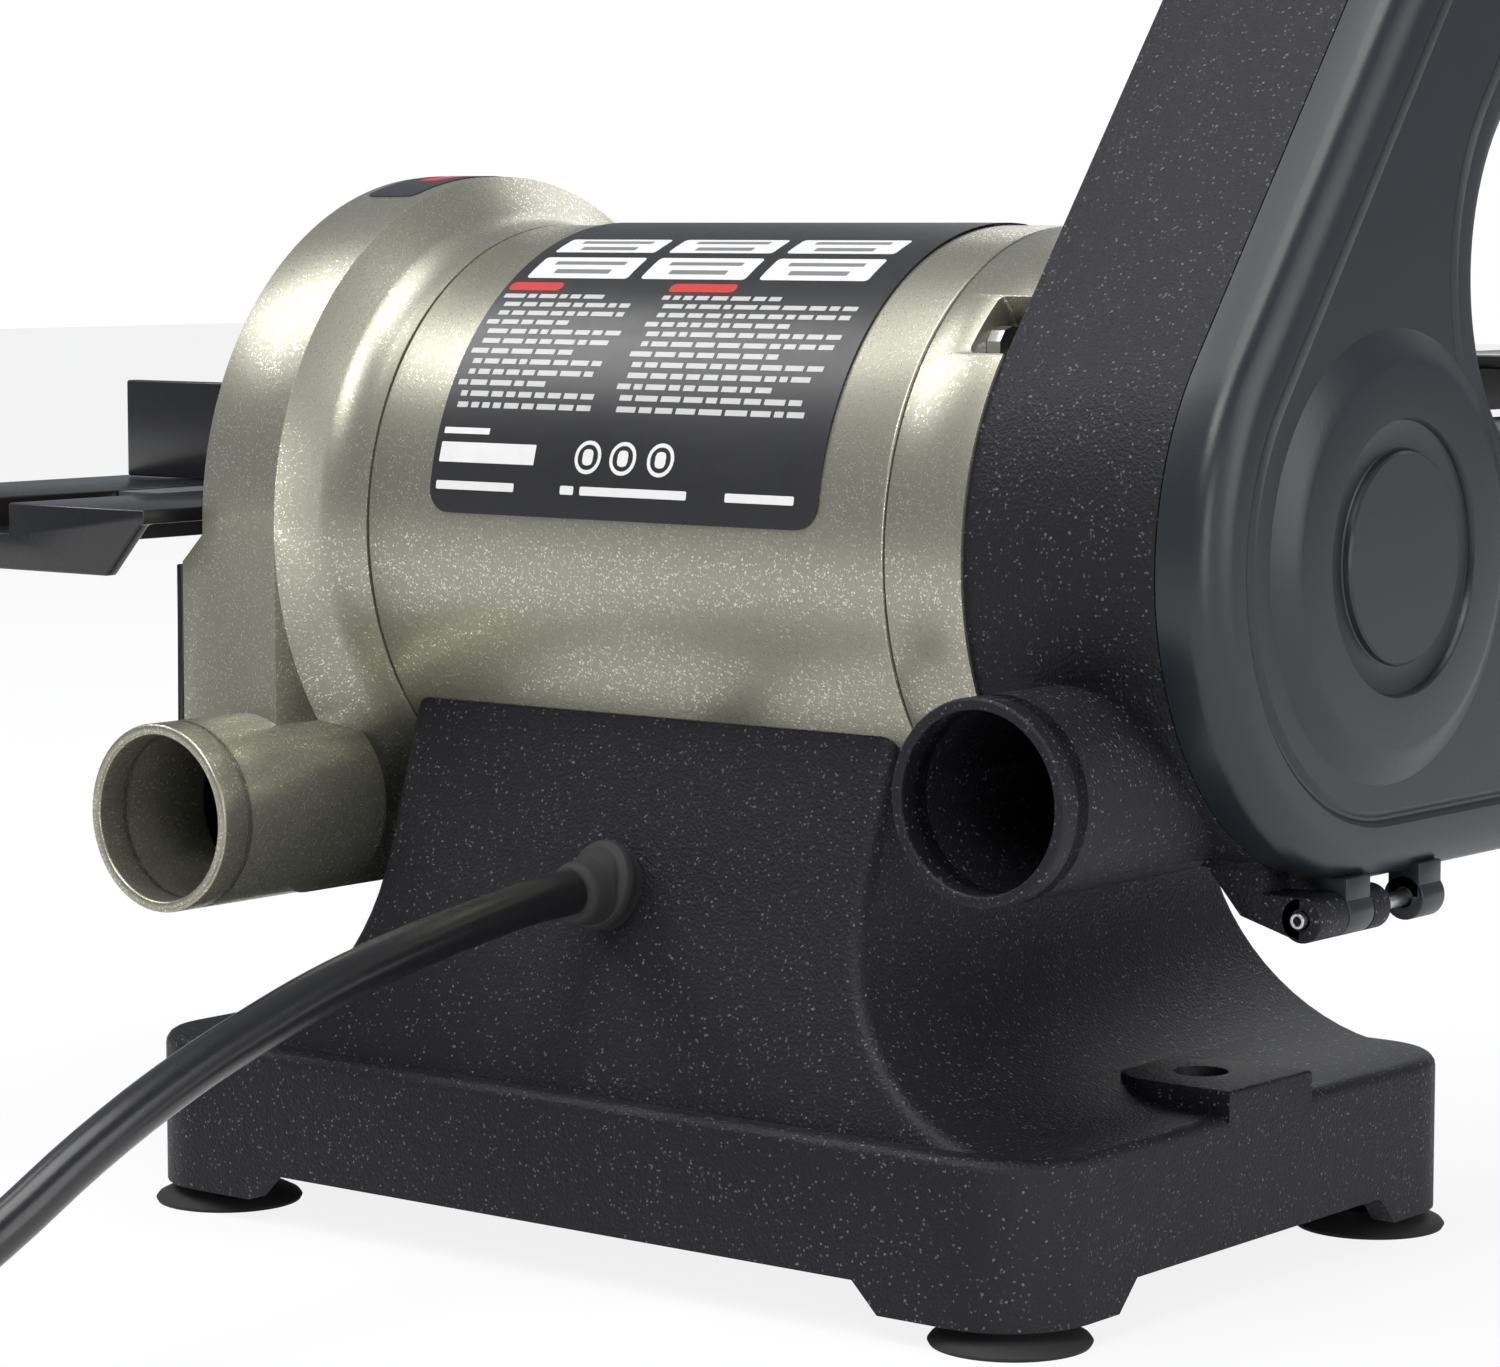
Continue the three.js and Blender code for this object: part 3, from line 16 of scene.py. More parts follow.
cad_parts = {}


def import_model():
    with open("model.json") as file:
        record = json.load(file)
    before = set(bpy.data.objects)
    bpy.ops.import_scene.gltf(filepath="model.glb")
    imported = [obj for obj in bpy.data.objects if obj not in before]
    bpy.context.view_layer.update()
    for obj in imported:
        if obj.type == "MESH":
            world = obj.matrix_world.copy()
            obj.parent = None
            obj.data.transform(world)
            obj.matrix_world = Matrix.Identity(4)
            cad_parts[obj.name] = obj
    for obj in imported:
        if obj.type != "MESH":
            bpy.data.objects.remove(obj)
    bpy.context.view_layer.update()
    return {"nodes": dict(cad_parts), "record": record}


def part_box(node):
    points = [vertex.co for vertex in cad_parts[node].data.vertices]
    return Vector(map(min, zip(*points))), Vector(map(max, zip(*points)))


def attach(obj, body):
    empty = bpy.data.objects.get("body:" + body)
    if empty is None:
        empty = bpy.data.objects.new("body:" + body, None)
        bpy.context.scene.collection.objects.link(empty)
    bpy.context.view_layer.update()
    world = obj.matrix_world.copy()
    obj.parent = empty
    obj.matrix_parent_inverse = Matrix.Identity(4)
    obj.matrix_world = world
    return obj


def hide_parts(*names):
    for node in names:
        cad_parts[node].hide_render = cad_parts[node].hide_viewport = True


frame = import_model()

# %% [markdown]
# The pieces are drawn in millimetres in the maker's own frame: the shaft runs along X,
# y = 0 is the shaft's line and z = 0 is the bench. The motor shell tells where that frame
# sits among the solids, so nothing has to be fitted by eye.

# %% The maker's frame
SHELL_START = -69.5  # where the motor shell begins, along the shaft
SHAFT = 141.5  # height of the shaft
low, high = (Vector(corner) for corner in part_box("motor_shell"))
ORIGIN = Vector((low.x - SHELL_START / 1000, (low.y + high.y) / 2, 0))
TO_WORLD = Matrix.Translation(ORIGIN) @ Matrix.Scale(0.001, 4)


def world(x, y, z):
    """A point of the maker's frame, in metres among the solids."""
    return TO_WORLD @ Vector((x, y, z))


print("origin of the maker's frame:", [round(v * 1000, 2) for v in ORIGIN])

# %% [markdown]
# ## Camera and studio
# The machine is seen from behind and from the belt end, a little above the shaft, with a
# long lens so that its edges stay nearly parallel. The studio is a white sweep with big
# soft lamps, because painted metal shows its shape by the soft lights that it reflects.

# %% Camera
camera_data = bpy.data.cameras.new("camera")
camera_data.lens = 109.5
camera_data.sensor_width = 36
camera = bpy.data.objects.new("camera", camera_data)
bpy.context.scene.collection.objects.link(camera)
forward = Vector((0.6188, -0.7791, -0.1005)).normalized()
right = Vector((-0.7830, -0.6220, 0)).normalized()
turn = Matrix((right, right.cross(forward), -forward)).transposed()
camera.matrix_world = Matrix.Translation(world(-570.0, 730.2, 202.8)) @ turn.to_4x4()
bpy.context.scene.camera = camera
print("camera at", [round(v, 3) for v in camera.matrix_world.translation])

# %% [markdown]
# The floor reads white where the camera sees it, and weaker in a reflection, and still takes
# the shadow. Light Path picks those rays, so the floor throws no extra light.

# %% Floor and world
bpy.context.scene.view_settings.view_transform = "Standard"


def seen_rays(tree):
    """One where a ray comes from the camera, and less than one where it is a reflection."""
    path = tree.nodes.new("ShaderNodeLightPath")
    add = tree.nodes.new("ShaderNodeMath")
    add.operation = "MULTIPLY_ADD"
    tree.links.new(path.outputs["Is Glossy Ray"], add.inputs[0])
    add.inputs[1].default_value = 0.3
    tree.links.new(path.outputs["Is Camera Ray"], add.inputs[2])
    return add.outputs[0]


def studio_world():
    sky = bpy.data.worlds.new("studio")
    sky.use_nodes = True
    tree = sky.node_tree
    shade = tree.nodes["Background"]
    mix = tree.nodes.new("ShaderNodeMix")
    mix.data_type = "RGBA"
    mix.inputs["A"].default_value = (0.25, 0.26, 0.285, 1)
    mix.inputs["B"].default_value = (1, 1, 1, 1)
    path = tree.nodes.new("ShaderNodeLightPath")
    tree.links.new(path.outputs["Is Camera Ray"], mix.inputs["Factor"])
    tree.links.new(mix.outputs["Result"], shade.inputs["Color"])
    bpy.context.scene.world = sky


def studio_floor():
    bm = bmesh.new()
    bmesh.ops.create_grid(bm, x_segments=1, y_segments=1, size=6)
    mesh = bpy.data.meshes.new("studio_floor")
    bm.to_mesh(mesh)
    bm.free()
    floor = bpy.data.objects.new("studio_floor", mesh)
    bpy.context.scene.collection.objects.link(floor)
    look = bpy.data.materials.new("studio_floor")
    look.use_nodes = True
    tree = look.node_tree
    paper = tree.nodes["Principled BSDF"]
    paper.inputs["Base Color"].default_value = (0.86, 0.86, 0.86, 1)
    paper.inputs["Roughness"].default_value = 0.9
    paper.inputs["Specular IOR Level"].default_value = 0.0
    glow = tree.nodes.new("ShaderNodeEmission")
    mix = tree.nodes.new("ShaderNodeMixShader")
    share = tree.nodes.new("ShaderNodeMath")
    share.operation = "MULTIPLY"
    share.inputs[1].default_value = 0.86
    tree.links.new(seen_rays(tree), share.inputs[0])
    tree.links.new(share.outputs[0], mix.inputs["Fac"])
    tree.links.new(paper.outputs["BSDF"], mix.inputs[1])
    tree.links.new(glow.outputs["Emission"], mix.inputs[2])
    tree.links.new(mix.outputs["Shader"], tree.nodes["Material Output"].inputs["Surface"])
    mesh.materials.append(look)


studio_world()
studio_floor()
print("studio ready")


# %% Lamps
def softbox(name, at, size, watts, aim=(0, 0, 0.17)):
    lamp = bpy.data.lights.new(name, "AREA")
    lamp.shape = "RECTANGLE"
    lamp.size, lamp.size_y = size
    lamp.energy = watts
    holder = bpy.data.objects.new(name, lamp)
    bpy.context.scene.collection.objects.link(holder)
    holder.location = at
    holder.rotation_euler = (Vector(at) - Vector(aim)).to_track_quat("Z", "Y").to_euler()


softbox("overhead", (0.0, 0.5, 2.0), (1.4, 1.0), 20)
softbox("key_high_rear", (-0.5, 1.5, 1.7), (1.0, 0.8), 18)
softbox("fill_left", (1.3, 0.55, 1.5), (0.9, 0.8), 12)
softbox("fill_right_rear", (-1.6, 1.2, 0.4), (0.5, 0.8), 6)
softbox("fill_belt_side", (-1.8, -0.2, 0.7), (0.9, 1.3), 10)
softbox("back_light", (0.3, -1.5, 1.1), (1.4, 0.9), 8)

# %% [markdown]
# ## Finishes
# Every finish is a Principled shader fed by a few shared effects. Each effect is a node
# group with named sockets, so one idea, such as metal flakes in paint, is built once and
# tuned for each paint. The patterns read Object coordinates, in metres, so a scale of 1000
# makes cells of about a millimetre.

# %% Helpers for shader groups
FLOAT, COLOUR = "NodeSocketFloat", "NodeSocketColor"


def new_group(name, inputs, outputs):
    """An empty effect group with its named sockets; gives the tree, its input and output."""
    tree = bpy.data.node_groups.new(name, "ShaderNodeTree")
    for label, kind, value in inputs:
        socket = tree.interface.new_socket(name=label, in_out="INPUT", socket_type=kind)
        socket.default_value = value
    for label, kind in outputs:
        tree.interface.new_socket(name=label, in_out="OUTPUT", socket_type=kind)
    return tree, tree.nodes.new("NodeGroupInput"), tree.nodes.new("NodeGroupOutput")


def math_node(tree, operation, first, second=0.5):
    node = tree.nodes.new("ShaderNodeMath")
    node.operation = operation
    for slot, value in enumerate((first, second)):
        if isinstance(value, (int, float)):
            node.inputs[slot].default_value = value
        else:
            tree.links.new(value, node.inputs[slot])
    return node.outputs[0]


def mix_colour(tree, factor, first, second, blend="MIX"):
    node = tree.nodes.new("ShaderNodeMix")
    node.data_type = "RGBA"
    node.blend_type = blend
    for label, value in (("Factor", factor), ("A", first), ("B", second)):
        if isinstance(value, (int, float, tuple)):
            node.inputs[label].default_value = value
        else:
            tree.links.new(value, node.inputs[label])
    return node.outputs["Result"]


def object_point(tree):
    return tree.nodes.new("ShaderNodeTexCoord").outputs["Object"]


def noise(tree, scale, detail=2.0, vector=None, output="Fac"):
    node = tree.nodes.new("ShaderNodeTexNoise")
    node.inputs["Detail"].default_value = detail
    tree.links.new(vector or object_point(tree), node.inputs["Vector"])
    if isinstance(scale, (int, float)):
        node.inputs["Scale"].default_value = scale
    else:
        tree.links.new(scale, node.inputs["Scale"])
    return node.outputs[output]


print("group helpers ready")

# %% [markdown]
# **Flaked paint.** Hammered and metallic paints hold tiny flakes. Each Voronoi cell gets a
# random colour, and the few cells above a threshold become bright flakes. A fine noise
# stands for the orange peel of the sprayed coat.


# %% Effect: flakes and orange peel
def build_flaked_paint():
    tree, given, result = new_group(
        "flaked_paint",
        [("Base", COLOUR, (0.5, 0.5, 0.4, 1)), ("Flake", COLOUR, (0.9, 0.9, 0.8, 1)),
         ("Flake Share", FLOAT, 0.1), ("Flake Scale", FLOAT, 1000), ("Peel Scale", FLOAT, 600),
         ("Roughness", FLOAT, 0.4)],
        [("Color", COLOUR), ("Roughness", FLOAT), ("Height", FLOAT)],
    )
    cells = tree.nodes.new("ShaderNodeTexVoronoi")
    tree.links.new(object_point(tree), cells.inputs["Vector"])
    tree.links.new(given.outputs["Flake Scale"], cells.inputs["Scale"])
    parts = tree.nodes.new("ShaderNodeSeparateColor")
    tree.links.new(cells.outputs["Color"], parts.inputs["Color"])
    limit = math_node(tree, "SUBTRACT", 1.0, given.outputs["Flake Share"])
    flakes = math_node(tree, "GREATER_THAN", parts.outputs["Red"], limit)
    shine = math_node(tree, "MULTIPLY", flakes, parts.outputs["Green"])
    patch = noise(tree, 14, 3.0)
    tone = math_node(tree, "MULTIPLY_ADD", patch, 0.16)
    tone.node.inputs[2].default_value = 0.92
    base = mix_colour(tree, 1.0, given.outputs["Base"], tone, "MULTIPLY")
    tree.links.new(mix_colour(tree, shine, base, given.outputs["Flake"]), result.inputs["Color"])
    softer = math_node(tree, "MULTIPLY_ADD", shine, -0.22)
    tree.links.new(given.outputs["Roughness"], softer.node.inputs[2])
    tree.links.new(softer, result.inputs["Roughness"])
    peel = noise(tree, given.outputs["Peel Scale"], 3.0)
    rise = math_node(tree, "MULTIPLY_ADD", shine, 0.35)
    tree.links.new(peel, rise.node.inputs[2])
    tree.links.new(rise, result.inputs["Height"])
    return tree


FLAKED_PAINT = build_flaked_paint()
print("effect:", FLAKED_PAINT.name)

# %% [markdown]
# **Moulded or worked surface.** Plastic, rubber and machined metal differ mostly in how
# their roughness and fine relief change. One group stretches a noise along a chosen axis:
# a stretch of one is the grain of moulded plastic, and a large stretch is a turning mark.


# %% Effect: grain and handling
def build_grain():
    tree, given, result = new_group(
        "grain",
        [("Base", COLOUR, (0.05, 0.05, 0.05, 1)), ("Scale", FLOAT, 900), ("Stretch X", FLOAT, 1),
         ("Stretch Z", FLOAT, 1), ("Roughness", FLOAT, 0.5), ("Spread", FLOAT, 0.15),
         ("Tint", FLOAT, 0.15)],
        [("Color", COLOUR), ("Roughness", FLOAT), ("Height", FLOAT)],
    )
    stretch = tree.nodes.new("ShaderNodeCombineXYZ")
    tree.links.new(given.outputs["Stretch X"], stretch.inputs["X"])
    stretch.inputs["Y"].default_value = 1
    tree.links.new(given.outputs["Stretch Z"], stretch.inputs["Z"])
    scaled = tree.nodes.new("ShaderNodeVectorMath")
    scaled.operation = "MULTIPLY"
    tree.links.new(object_point(tree), scaled.inputs[0])
    tree.links.new(stretch.outputs["Vector"], scaled.inputs[1])
    fine = noise(tree, given.outputs["Scale"], 3.0, scaled.outputs["Vector"])
    handled = noise(tree, 24, 3.0)
    centred = math_node(tree, "SUBTRACT", math_node(tree, "ADD", fine, handled), 1.0)
    spread = math_node(tree, "MULTIPLY", centred, given.outputs["Spread"])
    worn = math_node(tree, "ADD", given.outputs["Roughness"], spread)
    tree.links.new(worn, result.inputs["Roughness"])
    tint = math_node(tree, "MULTIPLY", centred, given.outputs["Tint"])
    tone = math_node(tree, "ADD", 1.0, tint)
    toned = mix_colour(tree, 1.0, given.outputs["Base"], tone, "MULTIPLY")
    tree.links.new(toned, result.inputs["Color"])
    tree.links.new(fine, result.inputs["Height"])
    return tree


GRAIN = build_grain()
print("effect:", GRAIN.name)

# %% [markdown]
# **Grit.** Abrasive is a crust of sharp grains. The distance to the nearest Voronoi cell
# centre gives each grain a point, and its random colour varies the mineral's tint.


# %% Effect: grit
def build_grit():
    tree, given, result = new_group(
        "grit",
        [("Light", COLOUR, (0.5, 0.25, 0.13, 1)), ("Dark", COLOUR, (0.2, 0.09, 0.05, 1)),
         ("Scale", FLOAT, 1800)],
        [("Color", COLOUR), ("Height", FLOAT)],
    )
    cells = tree.nodes.new("ShaderNodeTexVoronoi")
    tree.links.new(object_point(tree), cells.inputs["Vector"])
    tree.links.new(given.outputs["Scale"], cells.inputs["Scale"])
    parts = tree.nodes.new("ShaderNodeSeparateColor")
    tree.links.new(cells.outputs["Color"], parts.inputs["Color"])
    tree.links.new(
        mix_colour(tree, parts.outputs["Red"], given.outputs["Dark"], given.outputs["Light"]),
        result.inputs["Color"],
    )
    point = math_node(tree, "SUBTRACT", 1.0, cells.outputs["Distance"])
    tree.links.new(point, result.inputs["Height"])
    return tree


GRIT = build_grit()
print("effect:", GRIT.name)

# %% [markdown]
# A finish places one effect, gives it its own values, and joins its outputs to the shader.
# Numbers that are the same all over, such as the coat's roughness, are set on the shader.


# %% Finishes from effects
def finish(name, effect, values, metallic=0.0, relief=0.1, distance=0.0004, **plain):
    look = bpy.data.materials.new(name)
    look.use_nodes = True
    tree = look.node_tree
    shader = tree.nodes["Principled BSDF"]
    shader.inputs["Metallic"].default_value = metallic
    for label, value in plain.items():
        shader.inputs[label.replace("_", " ")].default_value = value
    group = tree.nodes.new("ShaderNodeGroup")
    group.node_tree = effect
    for label, value in values.items():
        group.inputs[label].default_value = value
    tree.links.new(group.outputs["Color"], shader.inputs["Base Color"])
    if "Roughness" in group.outputs:
        tree.links.new(group.outputs["Roughness"], shader.inputs["Roughness"])
    bump = tree.nodes.new("ShaderNodeBump")
    bump.inputs["Strength"].default_value = relief
    bump.inputs["Distance"].default_value = distance
    tree.links.new(group.outputs["Height"], bump.inputs["Height"])
    tree.links.new(bump.outputs["Normal"], shader.inputs["Normal"])
    return look


def paint(name, base, flake, share, flakes, peel, rough, **more):
    return finish(name, FLAKED_PAINT, {
        "Base": (*base, 1), "Flake": (*flake, 1), "Flake Share": share, "Flake Scale": flakes,
        "Peel Scale": peel, "Roughness": rough}, **more)


def grained(name, base, scale, rough, spread=0.12, tint=0.12, stretch=(1, 1), **more):
    return finish(name, GRAIN, {
        "Base": (*base, 1), "Scale": scale, "Roughness": rough, "Spread": spread, "Tint": tint,
        "Stretch X": stretch[0], "Stretch Z": stretch[1]}, **more)


def abrasive(name, light, dark, scale):
    return finish(name, GRIT, {"Light": (*light, 1), "Dark": (*dark, 1), "Scale": scale},
                  relief=0.7, Roughness=0.95)


LOOK = {
    "champagne_paint": paint("champagne_paint", (0.35, 0.342, 0.275), (0.68, 0.67, 0.58), 0.16,
                             3400, 1300, 0.34, metallic=0.8, relief=0.07),
    "textured_black": paint("textured_black", (0.0065, 0.0065, 0.0095), (0.13, 0.13, 0.15), 0.04,
                            2600, 1500, 0.5, relief=0.7, Specular_IOR_Level=0.3),
    "satin_cover": grained("satin_cover", (0.013, 0.016, 0.02), 1500, 0.34, relief=0.06),
    "sheet_enamel": grained("sheet_enamel", (0.008, 0.008, 0.009), 500, 0.3, relief=0.04,
                            Coat_Weight=0.15, Coat_Roughness=0.12),
    "black_plastic": grained("black_plastic", (0.018, 0.018, 0.02), 1600, 0.5, relief=0.15),
    "cord_jacket": grained("cord_jacket", (0.008, 0.008, 0.009), 700, 0.3, relief=0.05,
                           Coat_Weight=0.3, Coat_Roughness=0.2),
    "rubber": grained("rubber", (0.014, 0.014, 0.014), 1200, 0.72, relief=0.2),
    "cast_black": grained("cast_black", (0.025, 0.025, 0.028), 700, 0.55, relief=0.35),
    "bright_steel": grained("bright_steel", (0.62, 0.62, 0.63), 900, 0.3, metallic=1.0,
                            stretch=(8, 1), relief=0.05),
    "ground_steel": grained("ground_steel", (0.58, 0.58, 0.6), 700, 0.34, metallic=1.0,
                            stretch=(1, 6), relief=0.05),
    "turned_aluminium": grained("turned_aluminium", (0.72, 0.72, 0.73), 800, 0.36, metallic=1.0,
                                stretch=(5, 1), relief=0.08),
    "core_steel": grained("core_steel", (0.28, 0.28, 0.3), 2600, 0.5, metallic=0.9,
                          stretch=(9, 0.2), relief=0.3),
    "copper_winding": grained("copper_winding", (0.42, 0.17, 0.06), 1400, 0.4, metallic=0.7,
                              stretch=(2, 0.4), relief=0.5),
    "plate_grey": grained("plate_grey", (0.1, 0.1, 0.105), 600, 0.5, metallic=0.4, relief=0.1),
    "can_grey": grained("can_grey", (0.2, 0.2, 0.22), 500, 0.45, relief=0.08),
    "switch_red": grained("switch_red", (0.42, 0.015, 0.012), 900, 0.3, relief=0.04),
    "key_yellow": grained("key_yellow", (0.75, 0.45, 0.02), 900, 0.35, relief=0.04),
    "belt_cloth": abrasive("belt_cloth", (0.42, 0.19, 0.10), (0.16, 0.07, 0.04), 1700),
    "disc_paper": abrasive("disc_paper", (0.30, 0.14, 0.09), (0.11, 0.05, 0.04), 1500),
    "label_film": grained("label_film", (0.02, 0.02, 0.021), 300, 0.34, relief=0.02),
    "label_white": grained("label_white", (0.74, 0.74, 0.72), 300, 0.4, relief=0.02),
    "label_red": grained("label_red", (0.55, 0.03, 0.025), 300, 0.36, relief=0.02),
    "label_grey": grained("label_grey", (0.5, 0.5, 0.49), 300, 0.4, relief=0.02),
    "label_shade": grained("label_shade", (0.2, 0.2, 0.2), 300, 0.4, relief=0.02),
}
print("finishes:", len(LOOK))

# %% [markdown]
# ## Shaping helpers
# Most pieces of a machine are either turned about an axis or cut from a thick plate. So two
# helpers cover them: `turned` draws half a section and spins it, and `plate` draws an
# outline, extrudes it and rounds its edges. Both work in millimetres in the maker's frame.

# %% Turned pieces
AXES = {"X": Vector((1, 0, 0)), "Y": Vector((0, 1, 0)), "Z": Vector((0, 0, 1))}
ACROSS = {"X": Vector((0, 1, 0)), "Y": Vector((0, 0, 1)), "Z": Vector((1, 0, 0))}


def round_edges(bm, edges, width, segments=2):
    bmesh.ops.bevel(bm, geom=list(edges), offset=width, offset_type="OFFSET", affect="EDGES",
                    segments=segments, profile=0.5, material=-1, clamp_overlap=True)


def turned(section, axis="X", at=(0, 0, 0), steps=72, soften=0.0):
    """Spins a section of (along, radius) points; soften rounds every corner of the section."""
    bm = bmesh.new()
    spots = [bm.verts.new(Vector(at) + AXES[axis] * along + ACROSS[axis] * radius)
             for along, radius in section]
    for first, second in zip(spots, spots[1:]):
        bm.edges.new((first, second))
    closed = all(radius > 0.001 for _, radius in section)
    if closed:
        bm.edges.new((spots[-1], spots[0]))
    if soften:
        corners = spots if closed else spots[1:-1]
        bmesh.ops.bevel(bm, geom=corners, offset=soften, offset_type="OFFSET", affect="VERTICES",
                        segments=3, profile=0.5, material=-1, clamp_overlap=True)
    bmesh.ops.spin(bm, geom=bm.verts[:] + bm.edges[:], cent=at, axis=AXES[axis],
                   angle=2 * math.pi, steps=steps, use_merge=True, use_duplicate=False)
    bmesh.ops.remove_doubles(bm, verts=bm.verts[:], dist=0.002)
    bmesh.ops.recalc_face_normals(bm, faces=bm.faces[:])
    return bm


print("a turned washer has", len(turned([(0, 5), (0, 9), (2, 9), (2, 5)]).faces), "faces")


# %% Plates cut to an outline
def arc(a, b, radius, start, stop, steps=12):
    """Points on a circle, in degrees from the outline's first direction to its second."""
    return [(a + radius * math.cos(math.radians(start + (stop - start) * i / steps)),
             b + radius * math.sin(math.radians(start + (stop - start) * i / steps)))
            for i in range(steps + 1)]


def lay(axis, a, b, along):
    """A point of an outline: [y, z] along X, [x, z] along Y, [x, y] along Z."""
    return {"X": (along, a, b), "Y": (a, along, b), "Z": (a, b, along)}[axis]


def plate(outline, axis, start, stop, rounding=0.0, segments=2):
    bm = bmesh.new()
    face = bm.faces.new([bm.verts.new(lay(axis, a, b, start)) for a, b in outline])
    grown = bmesh.ops.extrude_face_region(bm, geom=[face])
    fresh = [g for g in grown["geom"] if isinstance(g, bmesh.types.BMVert)]
    bmesh.ops.translate(bm, verts=fresh, vec=AXES[axis] * (stop - start))
    bmesh.ops.recalc_face_normals(bm, faces=bm.faces[:])
    if rounding:
        round_edges(bm, sharp_edges(bm), rounding, segments)
    return bm


def sharp_edges(bm, degrees=32):
    limit = math.radians(degrees)
    return [e for e in bm.edges if len(e.link_faces) == 2 and e.calc_face_angle(0) > limit]


def rounded_box(low, high, rounding=0.8, segments=2):
    bm = bmesh.new()
    size = Vector(high) - Vector(low)
    bmesh.ops.create_cube(bm, size=1, matrix=Matrix.Translation((Vector(low) + Vector(high)) / 2)
                          @ Matrix.Diagonal((*size, 1)))
    if rounding:
        round_edges(bm, bm.edges[:], rounding, segments)
    return bm


def together(*shapes):
    """One bmesh that holds several shapes."""
    whole = bmesh.new()
    for shape in shapes:
        mesh = bpy.data.meshes.new("part")
        shape.to_mesh(mesh)
        shape.free()
        whole.from_mesh(mesh)
        bpy.data.meshes.remove(mesh)
    return whole


print("a rounded cube has", len(rounded_box((0, 0, 0), (9, 9, 9)).faces), "faces")

# %% [markdown]
# Ports, bores and hollows are cut with a Boolean modifier whose result is kept, because
# no single mesh operator cuts one solid with another. The cut edges are rounded afterwards,
# as a casting's edges are.


# %% Cutting one shape with others
def as_object(bm, name="work"):
    mesh = bpy.data.meshes.new(name)
    bm.to_mesh(mesh)
    bm.free()
    obj = bpy.data.objects.new(name, mesh)
    bpy.context.scene.collection.objects.link(obj)
    return obj


def combined(bm, others, operation="DIFFERENCE"):
    body = as_object(bm)
    tools = [as_object(other) for other in others]
    for tool in tools:
        cut = body.modifiers.new("cut", "BOOLEAN")
        cut.operation = operation
        cut.solver = "EXACT"
        cut.object = tool
    bpy.context.view_layer.update()
    result = bmesh.new()
    mesh = body.evaluated_get(bpy.context.evaluated_depsgraph_get()).to_mesh()
    result.from_mesh(mesh)
    for obj in [body, *tools]:
        bpy.data.meshes.remove(obj.data)
    bmesh.ops.remove_doubles(result, verts=result.verts[:], dist=0.004)
    bmesh.ops.dissolve_limit(result, angle_limit=math.radians(0.6), verts=result.verts[:],
                             edges=result.edges[:], use_dissolve_boundaries=False)
    return result


# %% Handing a shape over as a finished piece
def give_mesh(name, bm, look, smooth=34):
    """Places a maker's-frame shape in the world as a finished object."""
    bmesh.ops.transform(bm, matrix=TO_WORLD, verts=bm.verts[:])
    obj = as_object(bm, name)
    obj.data.polygons.foreach_set("use_smooth", [True] * len(obj.data.polygons))
    obj.data.set_sharp_from_angle(angle=math.radians(smooth))
    for each in look if isinstance(look, (list, tuple)) else [look]:
        obj.data.materials.append(LOOK[each])
    return obj


def finished(name, bm, look, body, replaces=(), smooth=34):
    obj = give_mesh(name, bm, look, smooth)
    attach(obj, body)
    if replaces:
        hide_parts(*replaces)
    print(name, "has", len(obj.data.polygons), "faces")
    return obj


BODIES = frame["record"]["behaviour"]["bodies"]
BODY_OF = {node: body for body, nodes in BODIES.items() for node in nodes}


def softened(node, look, width=0.4, segments=2):
    """A copy of a measured solid with merged corners and rounded edges, which replaces it."""
    bm = bmesh.new()
    bm.from_mesh(frame["nodes"][node].data)
    bmesh.ops.remove_doubles(bm, verts=bm.verts[:], dist=0.000004)
    bmesh.ops.dissolve_limit(bm, angle_limit=math.radians(0.6), verts=bm.verts[:],
                             edges=bm.edges[:], use_dissolve_boundaries=False)
    if width:
        round_edges(bm, sharp_edges(bm), width / 1000, segments)
    bmesh.ops.transform(bm, matrix=TO_WORLD.inverted(), verts=bm.verts[:])
    return finished(node + "_soft", bm, look, BODY_OF[node], [node])


print("bodies:", len(set(BODY_OF.values())))

# %% [markdown]
# ## The mains lead
# The lead leaves the rear of the base through a moulded grommet, sags to the bench and
# would run on to the wall. Its spare length is wound into a flat coil out of the way: three
# turns below and two above, with a tie, and the plug lies beside it. One curve carries the
# whole length, so its size and bends can be measured.

# %% Lead route
CORD_RADIUS = 4.4
COIL_X, COIL_Y, COIL_RADIUS = 72, 238, 46
PITCH = 2 * CORD_RADIUS
drop = [(-4, 73.3, 75.0), (-4, 84, 74.6), (-4, 96, 73.2), (-4, 111, 71), (-4, 126, 68.4),
        (-4, 142, 65), (-4, 159, 60.2), (-4, 176.5, 54.5), (-4, 199, 45), (-3, 220, 33.5),
        (1, 240, 22), (10, 259, 12.5), (24, 275, 7.4), (44, 287, 6.0), (58, 291.4, 6.0)]


def coil_point(turns):
    """A point after so many clockwise turns: out to in below, then in to out above."""
    lap = min(int(turns), 4)
    rings = [1, 0, -1, -1, 0, 1]
    share = max(0.0, (turns - lap - 0.65) / 0.35)
    ease = share * share * (3 - 2 * share)
    ring = rings[lap] + (rings[lap + 1] - rings[lap]) * ease
    level = 6.0 if lap < 2 else 6.0 + PITCH * (ease if lap == 2 else 1)
    angle = math.radians(90 - 360 * turns)
    radius = COIL_RADIUS + ring * PITCH
    return (COIL_X + radius * math.cos(angle), COIL_Y + radius * math.sin(angle), level)


